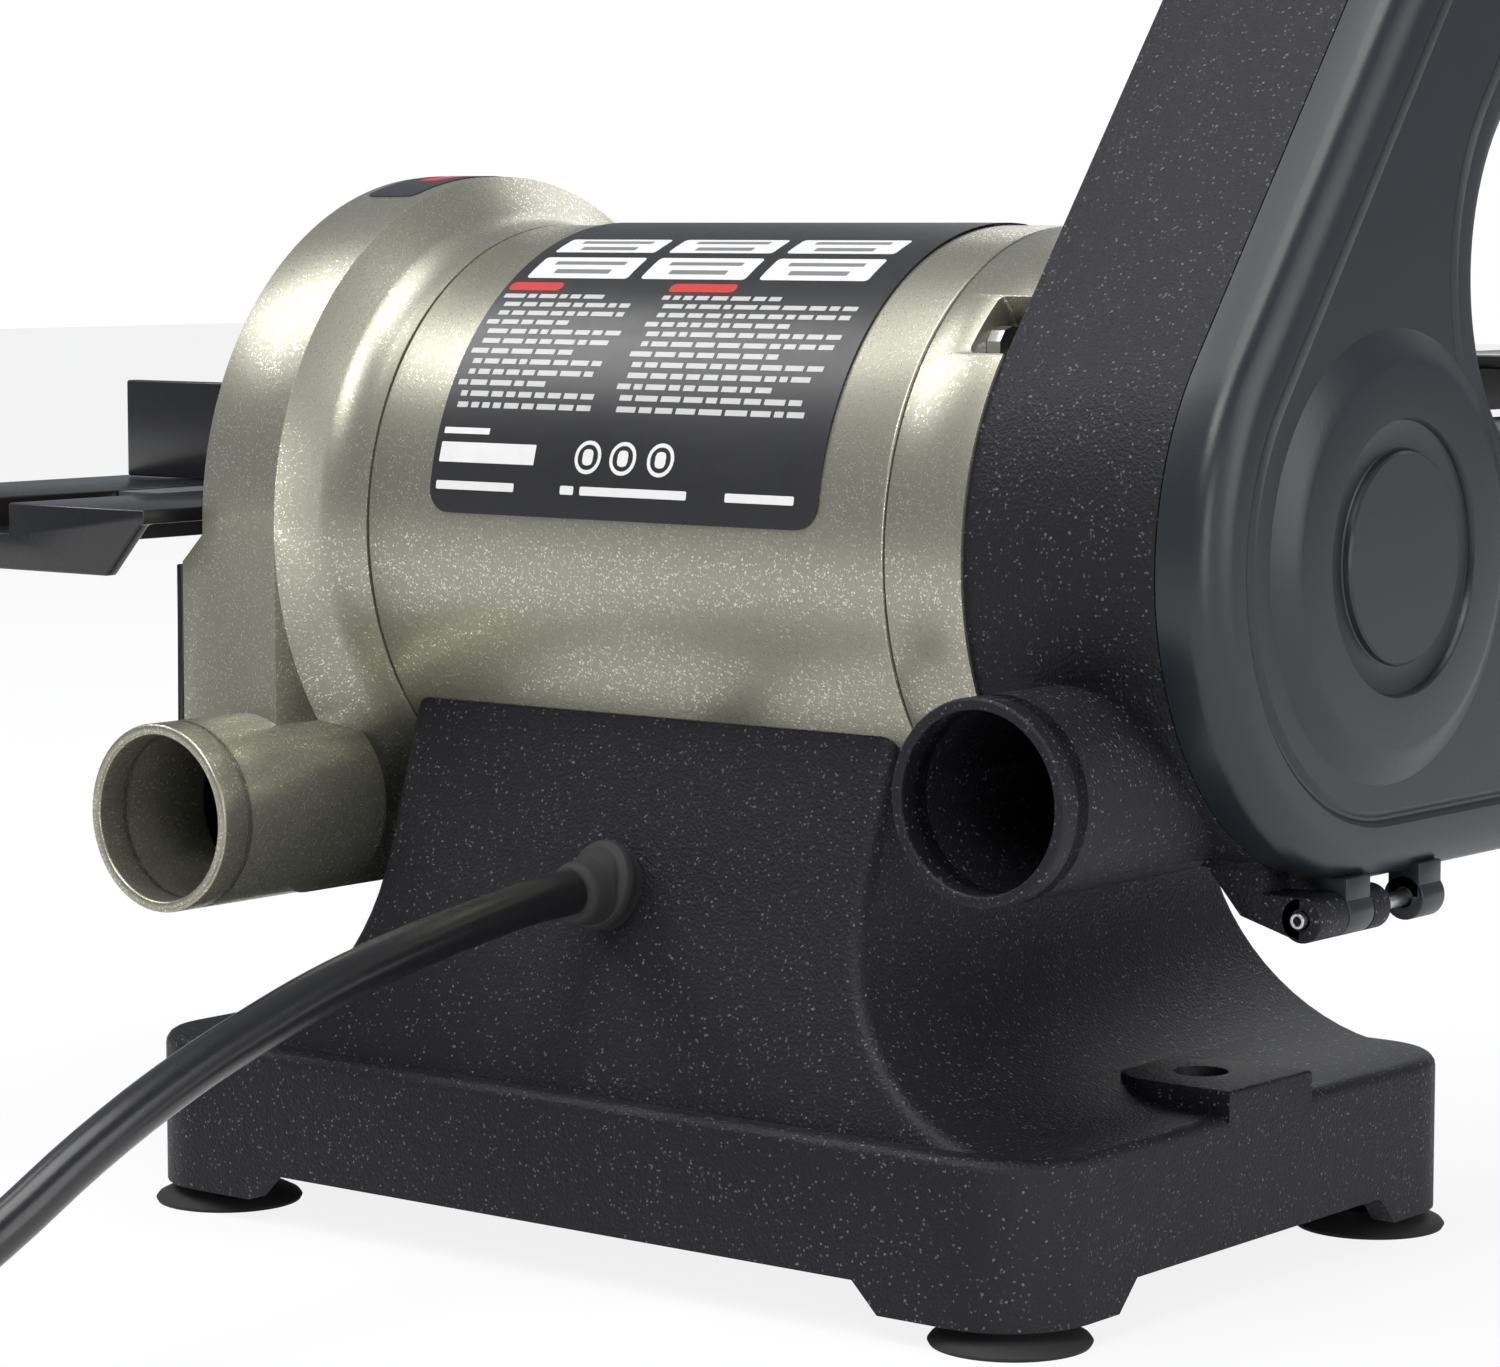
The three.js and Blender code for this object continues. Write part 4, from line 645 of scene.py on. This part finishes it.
coil = [coil_point(i / 20) for i in range(101)]
tail = [(COIL_X + x, COIL_Y + y, z) for x, y, z in (
    (23, 53.3, 14.2), (35, 50.4, 12.9), (46, 46, 11.5), (57, 39.8, 10.0), (66, 32, 9.0),
    (74, 23.2, 8.5), (80, 14, 8.6), (85, 4, 10.4), (88, -4, 12.5), (90, -12, 13.3),
    (91.8, -19.7, 13.4))]
route = [world(*point) for point in drop + coil + tail]
print("points on the lead:", len(route))


# %% Lead
def lead_curve():
    data = bpy.data.curves.new("mains_lead", "CURVE")
    data.dimensions = "3D"
    data.bevel_depth = CORD_RADIUS / 1000
    data.bevel_resolution = 7
    data.resolution_u = 4
    data.use_fill_caps = True
    line = data.splines.new("BEZIER")
    line.bezier_points.add(len(route) - 1)
    for knot, spot in zip(line.bezier_points, route):
        knot.co = spot
        knot.handle_left_type = knot.handle_right_type = "AUTO"
    data.materials.append(LOOK["cord_jacket"])
    obj = bpy.data.objects.new("mains_lead", data)
    bpy.context.scene.collection.objects.link(obj)
    return obj


lead = lead_curve()
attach(lead, "machine")
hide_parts("power_cord", "cord_coil", "cord_tail")

# %% [markdown]
# The grommet is oval, pressed into the sloping rear of the base, and narrows along the lead
# in soft steps so that the lead can't kink. It is turned about the lead, widened to an oval,
# and tipped to the slope. The tie is a flat strap round one side of the coil.

# %% Grommet, tie and plug
SLOPE = math.atan2(73 - 50.3, 106.8 - 36)


def grommet():
    bm = turned([(-3, 0), (-3, 8.2), (0.6, 8.2), (2.6, 9.0), (4.2, 8.6), (5.0, 7.0), (6.4, 6.6),
                 (8.6, 6.3), (10.4, 6.1), (11.4, 5.5), (11.8, 4.7), (11.8, 0)],
                "Y", (0, 0, 0), 48, 0.5)
    bmesh.ops.scale(bm, verts=[v for v in bm.verts if v.co.y < 5.6], vec=(0.87, 1, 1))
    bmesh.ops.rotate(bm, verts=[v for v in bm.verts if v.co.y < 5.6], cent=(0, 0, 0),
                     matrix=Matrix.Rotation(SLOPE, 3, "X"))
    bmesh.ops.translate(bm, verts=bm.verts[:], vec=(-4, 61.3, 74.6))
    return finished("grommet", bm, "rubber", "machine", ["strain_relief"], 50)


relief = grommet()
plug = softened("plug", "cord_jacket", 0.8, 3)
tie = softened("cord_tie", "black_plastic", 0.25)

# %% [markdown]
# ## The base
# The base is one iron casting. A low box stands on four corner legs, and a pedestal rises
# from it to cradle the motor. The pedestal's two ends sweep up in quarter circles, and its
# front and rear lean inwards. It is cut from a plate with the swept outline, and then its
# depth is narrowed with height. A Boolean joins it to the box and carves the cradle.

# %% Base sizes
BASE_X, BASE_Y, BASE_CORNER, SKIRT_TOP = (-115.0, 113.0), 77.5, 18.0, 36.0
LEG_FOOT, SKIRT_EDGE = 4.7, 10.5
SWEEP = 40.0
PEDESTAL_X = (-64.5, 57.0)
PEDESTAL_FOOT_Y, PEDESTAL_TOP_Y, PEDESTAL_TOP_Z = 73, 50.3, 106.8
PAD_Y, PAD_RADIUS, PAD_REACH, PAD_TOP = -2.25, 14.75, 32, 40.3
BOLT_X = (-99, 97)
FOOT_SPOTS = [(x, y) for x in (BASE_X[0] + 14.3, BASE_X[1] - 14.3) for y in (63.2, -63.2)]


def rounded_outline(a0, a1, b0, b1, radius, steps=8):
    return [*arc(a1 - radius, b1 - radius, radius, 0, 90, steps),
            *arc(a0 + radius, b1 - radius, radius, 90, 180, steps),
            *arc(a0 + radius, b0 + radius, radius, 180, 270, steps),
            *arc(a1 - radius, b0 + radius, radius, 270, 360, steps)]


print("pedestal length:", PEDESTAL_X[1] - PEDESTAL_X[0])


# %% Base pieces before they are joined
def skirt():
    """The low box: rounded corners, 45 degree legs, and a hollow underneath."""
    bm = plate(rounded_outline(*BASE_X, -BASE_Y, BASE_Y, BASE_CORNER), "Z", LEG_FOOT, SKIRT_TOP)
    rim = [e for e in sharp_edges(bm) if min(v.co.z for v in e.verts) > SKIRT_TOP - 0.01]
    round_edges(bm, rim, 2.6, 4)
    rise = SKIRT_EDGE - LEG_FOOT
    gaps = [
        plate([(-81 - 1, LEG_FOOT - 1), (-81 + rise, SKIRT_EDGE), (79 - rise, SKIRT_EDGE),
               (80, LEG_FOOT - 1)], "Y", -95, 95),
        plate([(-50, LEG_FOOT - 1), (-49 + rise, SKIRT_EDGE), (49 - rise, SKIRT_EDGE),
               (50, LEG_FOOT - 1)], "X", -130, 130),
        plate(rounded_outline(BASE_X[0] + 5, BASE_X[1] - 5, 5 - BASE_Y, BASE_Y - 5, 13),
              "Z", 0, 31),
    ]
    return combined(bm, gaps)


def pedestal():
    """The swept and leaning pedestal, drawn one millimetre deep and then widened."""
    low, high = PEDESTAL_X
    bm = plate([(low - SWEEP, SKIRT_TOP - 5),
                *arc(low - SWEEP, SKIRT_TOP + SWEEP, SWEEP, 270, 360, 16),
                (low, 111), (high, 111),
                *arc(high + SWEEP, SKIRT_TOP + SWEEP, SWEEP, 180, 270, 16),
                (high + SWEEP, SKIRT_TOP - 5)], "Y", -1, 1)
    lean = PEDESTAL_FOOT_Y - PEDESTAL_TOP_Y
    for vert in bm.verts:
        rise = (vert.co.z - SKIRT_TOP) / (PEDESTAL_TOP_Z - SKIRT_TOP)
        vert.co.y *= PEDESTAL_FOOT_Y - lean * rise
    corners = [e for e in sharp_edges(bm) if abs(e.verts[0].co.y - e.verts[1].co.y) < 30
               and max(v.co.z for v in e.verts) > SKIRT_TOP - 1]
    round_edges(bm, corners, 3.2, 4)
    return bm


def bolt_pad(side):
    """A flat pad with a round inner end; side is -1 at the belt end and 1 at the disc end."""
    edge = BASE_X[0] if side < 0 else BASE_X[1]
    middle = edge - side * (PAD_REACH - PAD_RADIUS)
    bend = arc(middle, PAD_Y, PAD_RADIUS, -90, 90 if side < 0 else -270, 14)
    outline = [(edge, PAD_Y - PAD_RADIUS), *bend, (edge, PAD_Y + PAD_RADIUS)]
    bm = plate(outline, "Z", SKIRT_TOP - 4, PAD_TOP)
    rim = [e for e in sharp_edges(bm) if min(v.co.z for v in e.verts) > PAD_TOP - 0.1]
    round_edges(bm, rim, 0.9, 3)
    return bm


def base_casting():
    bm = combined(skirt(), [pedestal(), bolt_pad(-1), bolt_pad(1)], "UNION")
    cuts = [turned([(-80, 0), (-80, 61.1), (75, 61.1), (75, 0)], "X", (0, 0, SHAFT), 128)]
    for x in BOLT_X:
        cuts.append(turned([(20, 0), (20, 5.0), (39.6, 5.0), (41, 5.9), (41, 0)],
                           "Z", (x, PAD_Y, 0), 32))
    for x, y in FOOT_SPOTS:
        cuts.append(turned([(0, 0), (0, 3.3), (20, 3.3), (20, 0)], "Z", (x, y, 0), 20))
    return finished("base", combined(bm, cuts), "textured_black", "machine",
                    ["base_casting"])


base_casting()

# %% [markdown]
# Each foot is a soft rubber cup with a flared lip, turned about its stud.

# %% Feet
for number, (x, y) in enumerate(FOOT_SPOTS, 1):
    cup = turned([(0.2, 0), (0.2, 9), (0.0, 12.5), (0.0, 14.8), (0.7, 15.2), (1.5, 14.6),
                  (2.6, 12.4), (3.4, 10.2), (4.4, 9.4), (4.5, 3.0), (17.9, 3.0), (17.9, 0)],
                 "Z", (x, y, 0), 56)
    finished(f"foot_{number}", cup, "rubber", "machine",
             [f"suction_foot_{number}"], 50)

# %% [markdown]
# ## The motor
# The shell is a rolled and painted tube. The end bell next to the belt is a casting with
# four notches, where the long screws that hold the motor together are reached. Between the
# two a narrow groove shows dark.

# %% Motor shell and end bell
shell = turned([(-69.2, 58.4), (-69.2, 60.8), (59.9, 60.8), (59.9, 58.4)],
               "X", (0, 0, SHAFT), 144, 0.6)
finished("shell", shell, "champagne_paint", "machine", ["motor_shell"])


def end_bell():
    """A short drum with a rolled edge, cut by four screw notches."""
    bm = turned([(-69.8, 55.0), (-69.8, 60.8), (-87.0, 60.8), (-87.0, 50.0), (-80, 50.0),
                 (-79, 55.0)], "X", (0, 0, SHAFT), 144)
    face = turned([(-73, 20), (-87, 20), (-87, 50.5), (-79.5, 50.5), (-73, 46)],
                  "X", (0, 0, SHAFT), 96)
    notches = []
    for angle in (45, 135, 225, 315):
        tool = rounded_box((-88, -7.2, 49), (-79.2, 7.2, 62), 1.2, 3)
        bmesh.ops.rotate(tool, verts=tool.verts[:], cent=(0, 0, 0), matrix=Matrix.Rotation(
            math.radians(angle - 90), 3, "X"))
        bmesh.ops.translate(tool, verts=tool.verts[:], vec=(0, 0, SHAFT))
        notches.append(tool)
    drum = combined(bm, notches)
    round_edges(drum, sharp_edges(drum, 40), 0.45, 2)
    return finished("end_bell", together(drum, face), "champagne_paint", "machine",
                    ["belt_end_bell"])


end_bell()

# %% [markdown]
# ## The disc guard
# The guard is one casting: a cone that blends from the motor into a round drum, a squared
# lower half that catches the dust, and a short round port at the rear for a hose. The
# solids are joined by a Boolean, hollowed, and every outer edge is rounded a little,
# because paint and casting never leave a knife edge.


# %% Disc guard
GUARD_RADIUS, GUARD_DEPTH, GUARD_CORNER, GUARD_WALL = 71, 75, 8, 4
DISC_PORT_X, DISC_PORT_Z, DISC_PORT_RADIUS, PORT_WALL = 84.5, SHAFT - 57, 19.0, 2.3
BELT_PORT_X, BELT_PORT_Z, BELT_PORT_RADIUS = -107.5, SHAFT - 40, 18.7


def guard_outline(inset, steps=72):
    side, bottom, corner = GUARD_RADIUS - inset, SHAFT - GUARD_DEPTH + inset, GUARD_CORNER - inset
    return [*arc(0, SHAFT, side, 0, 180, steps),
            *arc(corner - side, bottom + corner, corner, 180, 270, 8),
            *arc(side - corner, bottom + corner, corner, 270, 360, 8)]


def port(x, z, radius, wall, start, rim):
    """A short tube towards the rear, with a rounded rim; start may lie inside the casting."""
    return turned([(start, radius - wall), (start, radius), (rim, radius), (rim, radius - wall)],
                  "Y", (x, 0, z), 64, 0.7)


def disc_guard():
    neck = turned([(60.3, 0), (60.3, 60.8), (63, 61.0), (66, 61.6), (68.6, 62.6), (70.6, 63.9),
                   (76.2, 71.0), (78.0, 71.0), (78.0, 0)], "X", (0, 0, SHAFT), 144)
    drum = plate(guard_outline(0), "X", 76.2, 102.4)
    stub = turned([(50, 0), (50, DISC_PORT_RADIUS), (90, DISC_PORT_RADIUS), (90, 0)],
                  "Y", (DISC_PORT_X, 0, DISC_PORT_Z), 64)
    solid = combined(neck, [drum, stub], "UNION")
    hollow = [
        plate([(96.5, SHAFT - 2), (103.5, SHAFT - 9), (110, SHAFT - 9), (110, SHAFT + 90),
               (96.5, SHAFT + 90)], "Y", -90, 90),
        plate(guard_outline(GUARD_WALL), "X", 78.0, 110),
        turned([(55, 0), (55, 55.5), (73.5, 55.5), (73.5, 0)], "X", (0, 0, SHAFT), 96),
        turned([(66, 0), (66, 16.7), (120, 16.7), (120, 0)],
               "Y", (DISC_PORT_X, 0, DISC_PORT_Z), 64),
        turned([(70, 0), (70, 8), (84, 8), (84, 0)], "X", (0, 0, SHAFT), 48),
    ]
    bm = combined(solid, hollow)
    round_edges(bm, sharp_edges(bm, 38), 0.7, 3)
    rim = port(DISC_PORT_X, DISC_PORT_Z, DISC_PORT_RADIUS, PORT_WALL, 88, 96.5)
    fins = [rounded_box((67.9, 74, DISC_PORT_Z + z), (71.6, 86, DISC_PORT_Z + z + 1.1), 0.2)
            for z in (3.2, -6.0)]
    return finished("guard", together(bm, rim, *fins), "champagne_paint", "machine",
                    ["disc_guard"])


disc_guard()

# %% [markdown]
# The lower half of the disc is closed by a sheet cover. The turned aluminium disc carries
# a sheet of abrasive paper on its face.

# %% Disc, paper and dust cover
softened("disc_dust_cover", "sheet_enamel", 0.3)
disc = turned([(80, 6.3), (80, 18), (92.4, 20), (92.4, 63.2), (94.0, 63.2), (95.0, 62.6),
               (98.8, 62.6), (100.4, 63.2), (100.4, 0.01), (99.3, 0.01), (99.3, 6.3)],
              "X", (0, 0, SHAFT), 144, 0.2)
finished("disc", disc, "turned_aluminium", "spindle", ["disc_plate"])
paper = turned([(100.7, 0), (100.7, 63.5), (101.8, 63.5), (101.8, 0)], "X", (0, 0, SHAFT), 144, 0.2)
finished("disc_paper", paper, "disc_paper", "spindle", ["abrasive_disc"])

# %% [markdown]
# ## The belt housing and its cover
# Housing and cover share one C-shaped outline, which runs a little outside the belt round
# its three wheels and opens into a round throat, where long work passes behind the belt.
# One function gives the outline at any inset, so the pieces always line up.

# %% The shared outline
LEAN, MARGIN = 37.5, 15.6
DRIVE, IDLER = 44.6, 22.5
STEP = DRIVE - IDLER


LEAN_COS, LEAN_SIN = math.cos(math.radians(LEAN)), math.sin(math.radians(LEAN))
WRAPPED = math.radians(90 + LEAN) * DRIVE + math.radians(270 - LEAN) * IDLER
RUN = (762 - WRAPPED - STEP * (1 + LEAN_SIN - LEAN_COS)) / (1 + LEAN_COS + LEAN_SIN)
TOP = Vector((STEP * LEAN_COS - RUN * LEAN_SIN, STEP * LEAN_SIN + RUN * LEAN_COS))
FRONT = Vector((TOP.x, -STEP))
print("idlers at", [round(v, 1) for v in (*TOP, *FRONT)])


# %% Outline of housing and cover
THROAT_Y, THROAT_Z, THROAT_R = -75.0, 52.0, 42.0
ARM_TOP, ARM_BOTTOM, FILLET, ARM_CORNER = 20.0, 158.0, 12.0, 10.0
SPINE = THROAT_Y * LEAN_COS + THROAT_Z * LEAN_SIN + THROAT_R


def c_outline(inset, front=None):
    front = -143 + inset if front is None else front
    crown, throat, corner = IDLER + MARGIN - inset, THROAT_R + inset, ARM_CORNER - inset
    start = math.degrees(math.acos((front - TOP.x) / crown))
    fillet_z = ARM_BOTTOM - FILLET
    fillet_y = (SPINE - FILLET - fillet_z * LEAN_SIN) / LEAN_COS
    last = math.degrees(math.asin((ARM_TOP - inset - THROAT_Z) / throat))
    step_in = max(ARM_CORNER, inset)
    nose = FRONT.x - IDLER - MARGIN + step_in
    points = [*arc(0, 0, DRIVE + MARGIN - inset, -90, LEAN, 40),
              *arc(TOP.x, TOP.y, crown, LEAN, start, 20), (front, ARM_BOTTOM + inset),
              *arc(fillet_y, fillet_z, FILLET + inset, 90, LEAN, 6),
              *arc(THROAT_Y, THROAT_Z, throat, LEAN, last, 24),
              *arc(nose, ARM_TOP - step_in, max(corner, 0.01), 90, 180, 6),
              *arc(FRONT.x, FRONT.y, IDLER + MARGIN - inset, 180, 270, 16)]
    return [(y, z + SHAFT) for y, z in points]


print("outline points:", len(c_outline(0)))

# %% [markdown]
# The housing is a casting with a floor next to the motor and a wall all round. It carries a second
# dust port at the rear and the hinge ears underneath.

# %% Belt housing
HINGE_X, HINGE_Z, EAR = -136.5, SHAFT - 65.3, 4.3


def ear(y0, y1, reach):
    """A hinge ear: a round eye on the pin and an arm that reaches up to the casting."""
    eye = turned([(y0, 1.8), (y0, EAR), (y1, EAR), (y1, 1.8)], "Y", (HINGE_X, 0, HINGE_Z), 32, 0.3)
    return together(eye, plate(reach, "Y", y0, y1, 0.35, 2))


def belt_housing():
    shell = plate(c_outline(0), "X", -128.4, -87.3)
    stub = turned([(25, 0), (25, BELT_PORT_RADIUS), (80, BELT_PORT_RADIUS), (80, 0)],
                  "Y", (BELT_PORT_X, 0, BELT_PORT_Z), 64)
    solid = combined(shell, [stub], "UNION")
    hollow = [
        plate(c_outline(3.5, -151.0), "X", -130, -91.3),
        turned([(35, 0), (35, 16.4), (120, 16.4), (120, 0)],
               "Y", (BELT_PORT_X, 0, BELT_PORT_Z), 64),
        rounded_box((-122.8, -151.2, SHAFT + 8.5), (-93.3, -139.7, SHAFT + 21), 0.0),
        turned([(-100, 0), (-100, 12), (-80, 12), (-80, 0)], "X", (0, 0, SHAFT), 48),
        rounded_box((-100, TOP.x - 6.5, SHAFT + TOP.y - 15),
                    (-80, TOP.x + 6.5, SHAFT + TOP.y + 6.5), 0.0),
    ]
    bm = combined(solid, hollow)
    round_edges(bm, sharp_edges(bm, 40), 0.6, 2)
    rim = port(BELT_PORT_X, BELT_PORT_Z, BELT_PORT_RADIUS, PORT_WALL, 76, 84.3)
    arms = []
    for y0, y1 in ((13, 23), (-2, 3.7)):
        top = SHAFT + 2.5 - math.sqrt(60.2 ** 2 - y1 ** 2)
        arms.append(ear(y0, y1, [(-112.4, top), (-128.0, top), (-128.0, SHAFT - 61.2),
                                 (HINGE_X, HINGE_Z + EAR - 0.1), (HINGE_X, HINGE_Z - EAR + 0.1),
                                 (-123.4, SHAFT - 65.7)]))
    return finished("housing", together(bm, rim, *arms), "textured_black", "machine",
                    ["belt_housing"])


belt_housing()

# %% [markdown]
# The cover is a smooth moulding. One skin runs through a row of insets of its outline: from
# the inner field, over the lip, up the rounded edge and down a V groove to the outer field.
# A turned boss with a shallow ring sits over the drive wheel.


# %% Belt cover
def stepped(rings):
    """A closed skin through rings of equal length; the first and last ring are capped."""
    bm = bmesh.new()
    loops = [[bm.verts.new((x, y, z)) for y, z in outline] for x, outline in rings]
    for near, far in zip(loops, loops[1:]):
        for k in range(len(near)):
            after = (k + 1) % len(near)
            bm.faces.new((near[k], near[after], far[after], far[k]))
    bm.faces.new(loops[0])
    bm.faces.new(loops[-1][::-1])
    bmesh.ops.recalc_face_normals(bm, faces=bm.faces[:])
    return bm


def cover_field():
    outside = [(-128.7, 0), (-135.2, 0), (-136.6, 0.25), (-137.8, 0.95), (-138.8, 2.0),
               (-139.9, 3.6), (-140.6, 5.0), (-141.0, 6.6), (-141.0, 10.2), (-140.7, 10.7),
               (-140.1, 11.4), (-140.1, 12.0), (-140.7, 12.7), (-141.0, 13.2)]
    inside = [(-138.4, 13.2), (-138.4, 7.0), (-136.6, 4.4), (-135.2, 2.4), (-128.7, 2.4)]
    return stepped([(x, c_outline(inset)) for x, inset in inside + outside])


def cover_boss():
    return turned([(-140.4, 0), (-140.4, 42.6), (-141.0, 42.2), (-141.9, 40.6), (-143.1, 38.0),
                   (-143.8, 36.4), (-144.0, 35.2), (-144.0, 25.9), (-143.6, 25.6), (-142.5, 25.3),
                   (-142.4, 25.0), (-142.4, 20.3), (-142.6, 20.0), (-143.6, 19.7), (-144.0, 19.3),
                   (-144.0, 0)], "X", (0, 0, SHAFT), 128)


def belt_cover():
    arms = [ear(y0, y1, [(HINGE_X - 3.4, HINGE_Z), (HINGE_X + 3.4, HINGE_Z),
                         (HINGE_X + 3.4, SHAFT - 58.5), (HINGE_X - 3.4, SHAFT - 58.5)])
            for y0, y1 in ((4, 12.7), (-21.9, -13.6))]
    return finished("cover", together(cover_field(), cover_boss(), *arms), "satin_cover",
                    "belt_cover", ["belt_cover"], 26)


belt_cover()
pin = turned([(-23.3, 0.85), (-23.3, 1.5), (24.4, 1.5), (24.4, 0.85)],
             "Y", (HINGE_X, 0, HINGE_Z), 24, 0.15)
finished("hinge_pin", pin, "bright_steel", "machine", ["cover_hinge_pin"])

# %% [markdown]
# The rating label is a printed film bent round the motor. Its layout is drawn flat, with x
# along the shaft and the other axis along the arc, and the flat sheet is then wrapped. The
# print is blank blocks: no words, only the rhythm of boxes, tabs and lines.


# %% Label on the motor
FILM = 61.1


def wrap(bm, radius=FILM):
    """Cuts a flat sheet every few degrees of arc and bends it round the shaft line."""
    step = FILM * math.radians(2.4)
    for cut in range(0, 60):
        bmesh.ops.bisect_plane(bm, geom=bm.verts[:] + bm.edges[:] + bm.faces[:],
                               plane_co=(0, cut * step, 0), plane_no=(0, 1, 0), dist=0.0005)
    for vert in bm.verts:
        x, along, out = vert.co
        angle = along / FILM
        vert.co = (x, (radius + out) * math.cos(angle), SHAFT + (radius + out) * math.sin(angle))
    return bm


def sheet(x0, x1, low, high, corner, bottom, top, ink):
    """A flat rounded rectangle between two arc angles, in one ink."""
    y0, y1 = FILM * math.radians(low), FILM * math.radians(high)
    corner = min(corner, (x1 - x0) / 2.01, (y1 - y0) / 2.01)
    steps = 6 if corner > 1 else 2
    outline = [*arc(x1 - corner, y1 - corner, corner, 0, 90, steps),
               *arc(x0 + corner, y1 - corner, corner, 90, 180, steps),
               *arc(x0 + corner, y0 + corner, corner, 180, 270, steps),
               *arc(x1 - corner, y0 + corner, corner, 270, 360, steps)]
    bm = plate(outline, "Z", bottom, top)
    for face in bm.faces:
        face.material_index = ink
    return bm


def lines_of_words(x_left, x_right, first, count, rng):
    """Rows of short light bars, which read as small print; x falls from left to right."""
    words = []
    for row in range(count):
        angle = first - row * 2.28
        end = x_right + (rng.uniform(0, 1) if row % 3 else rng.uniform(8, 20))
        x = x_left - (0.0 if row % 3 == 0 else 1.6)
        while x - 2 > end:
            width = min(rng.uniform(1.6, 5.6), x - end)
            words.append(sheet(x - width, x, angle - 0.55, angle + 0.55, 0.1, 0.2, 0.29, 3))
            x -= width + 0.9
    return words


def rating_label():
    rng = random.Random(8)
    ink = [sheet(-54, 43, 4.0, 100.0, 5.0, 0.02, 0.25, 0)]
    for row, (low, high) in enumerate(((55.0, 62.3), (64.4, 70.6))):
        for right in (13.2, -16.6, -46.4):
            ink.append(sheet(right, right + 26.4, low, high, 0.8, 0.2, 0.29, 1))
            middle = (low + high) / 2
            for inset, low_edge, high_edge in ((6, -2.1, -0.7), (4, 0.9, 2.1)):
                ink.append(sheet(right + inset, right + 26.4 - inset, middle + low_edge,
                                 middle + high_edge, 0.2, 0.25, 0.3, 4))
    for right, width in ((28.0, 13.8), (-16.4, 16.6)):
        ink.append(sheet(right, right + width, 51.2, 53.6, 1.1, 0.2, 0.29, 2))
    ink += lines_of_words(41.4, 4.6, 49.6, 12, rng)
    ink += lines_of_words(0.2, -49.0, 49.6, 12, rng)
    ink.append(sheet(29.5, 41.4, 18.8, 20.0, 0.1, 0.2, 0.29, 1))
    ink.append(sheet(16.6, 41.4, 13.4, 17.2, 0.2, 0.2, 0.29, 1))
    for x in (3.0, -5.8, -15.2):
        ink.append(sheet(x - 3.3, x + 3.3, 12.2, 18.4, 3.2, 0.2, 0.29, 1))
        ink.append(sheet(x - 2.5, x + 2.5, 12.95, 17.65, 2.4, 0.25, 0.3, 0))
        ink.append(sheet(x - 1.3, x + 1.3, 13.8, 16.8, 0.9, 0.28, 0.31, 1))
    for x0, x1 in ((21.0, 41.4), (5.6, 9.0), (-22.6, 4.0), (-48.5, -32.0)):
        ink.append(sheet(x0, x1, 8.3, 9.9, 0.3, 0.2, 0.29, 1))
    label = wrap(together(*ink))
    inks = ["label_film", "label_white", "label_red", "label_grey", "label_shade"]
    return finished("label", label, inks, "machine", ["rating_label"], 60)


rating_label()
sticker = wrap(together(sheet(80.5, 94.0, 70, 114, 1.8, 0.02, 0.2, 0),
                        sheet(84.5, 90.0, 80, 92, 0.8, 0.15, 0.24, 1)), GUARD_RADIUS)
finished("guard_sticker", sticker, ["label_film", "label_red"], "machine", (), 60)

# %% [markdown]
# The tables, fence head, knobs, switch parts and tension arm already have their true form as
# measured. A copy of each gets rounded edges and cleaner faces, so light catches the edges as on
# the real pieces.

# %% Softened sheet parts, castings and knobs
SOFT = {
    "sheet_enamel": (0.5, ["disc_table", "belt_table", "mitre_head"]),
    "black_plastic": (0.6, ["belt_table_lock_knob", "disc_table_lock_knob", "cover_knob",
                            "tracking_knob", "mitre_knob", "switch_body"]),
    "cast_black": (0.5, ["tension_arm"]),
    "switch_red": (0.4, ["switch_rocker"]),
    "key_yellow": (0.4, ["safety_key"]),
}
for look, (width, nodes) in SOFT.items():
    for node in nodes:
        softened(node, look, width)

# %% [markdown]
# ## Finishes for the measured solids that stay
# Hidden or simple parts keep their measured shape and only take a finish: the laminated
# core, windings, bearings, bolts, floor plate and so on.

# %% Finishes for the solids
KEPT = {
    "core_steel": ["stator_core", "rotor_core"],
    "copper_winding": ["winding_end_disc_side", "winding_end_belt_side"],
    "bright_steel": ["motor_shaft", "bearing_belt_side", "bearing_disc_side", "housing_screw_1",
                     "housing_screw_2", "front_idler_axle", "drive_wheel_nut", "tension_spring",
                     "tracking_yoke", "through_bolt_1", "through_bolt_2", "through_bolt_3",
                     "through_bolt_4"],
    "plate_grey": ["base_floor_plate"],
    "can_grey": ["run_capacitor"],
    "ground_steel": ["mitre_bar", "platen"],
    "sheet_enamel": ["disc_table_quadrant", "belt_table_quadrant"],
    "turned_aluminium": ["drive_wheel"],
    "black_plastic": ["front_idler_wheel", "top_idler_wheel"],
    "belt_cloth": ["sanding_belt"],
}
for look, nodes in KEPT.items():
    for node in nodes:
        solid = frame["nodes"][node]
        solid.data.materials.clear()
        solid.data.materials.append(LOOK[look])
print("solids with a finish:", sum(map(len, KEPT.values())))
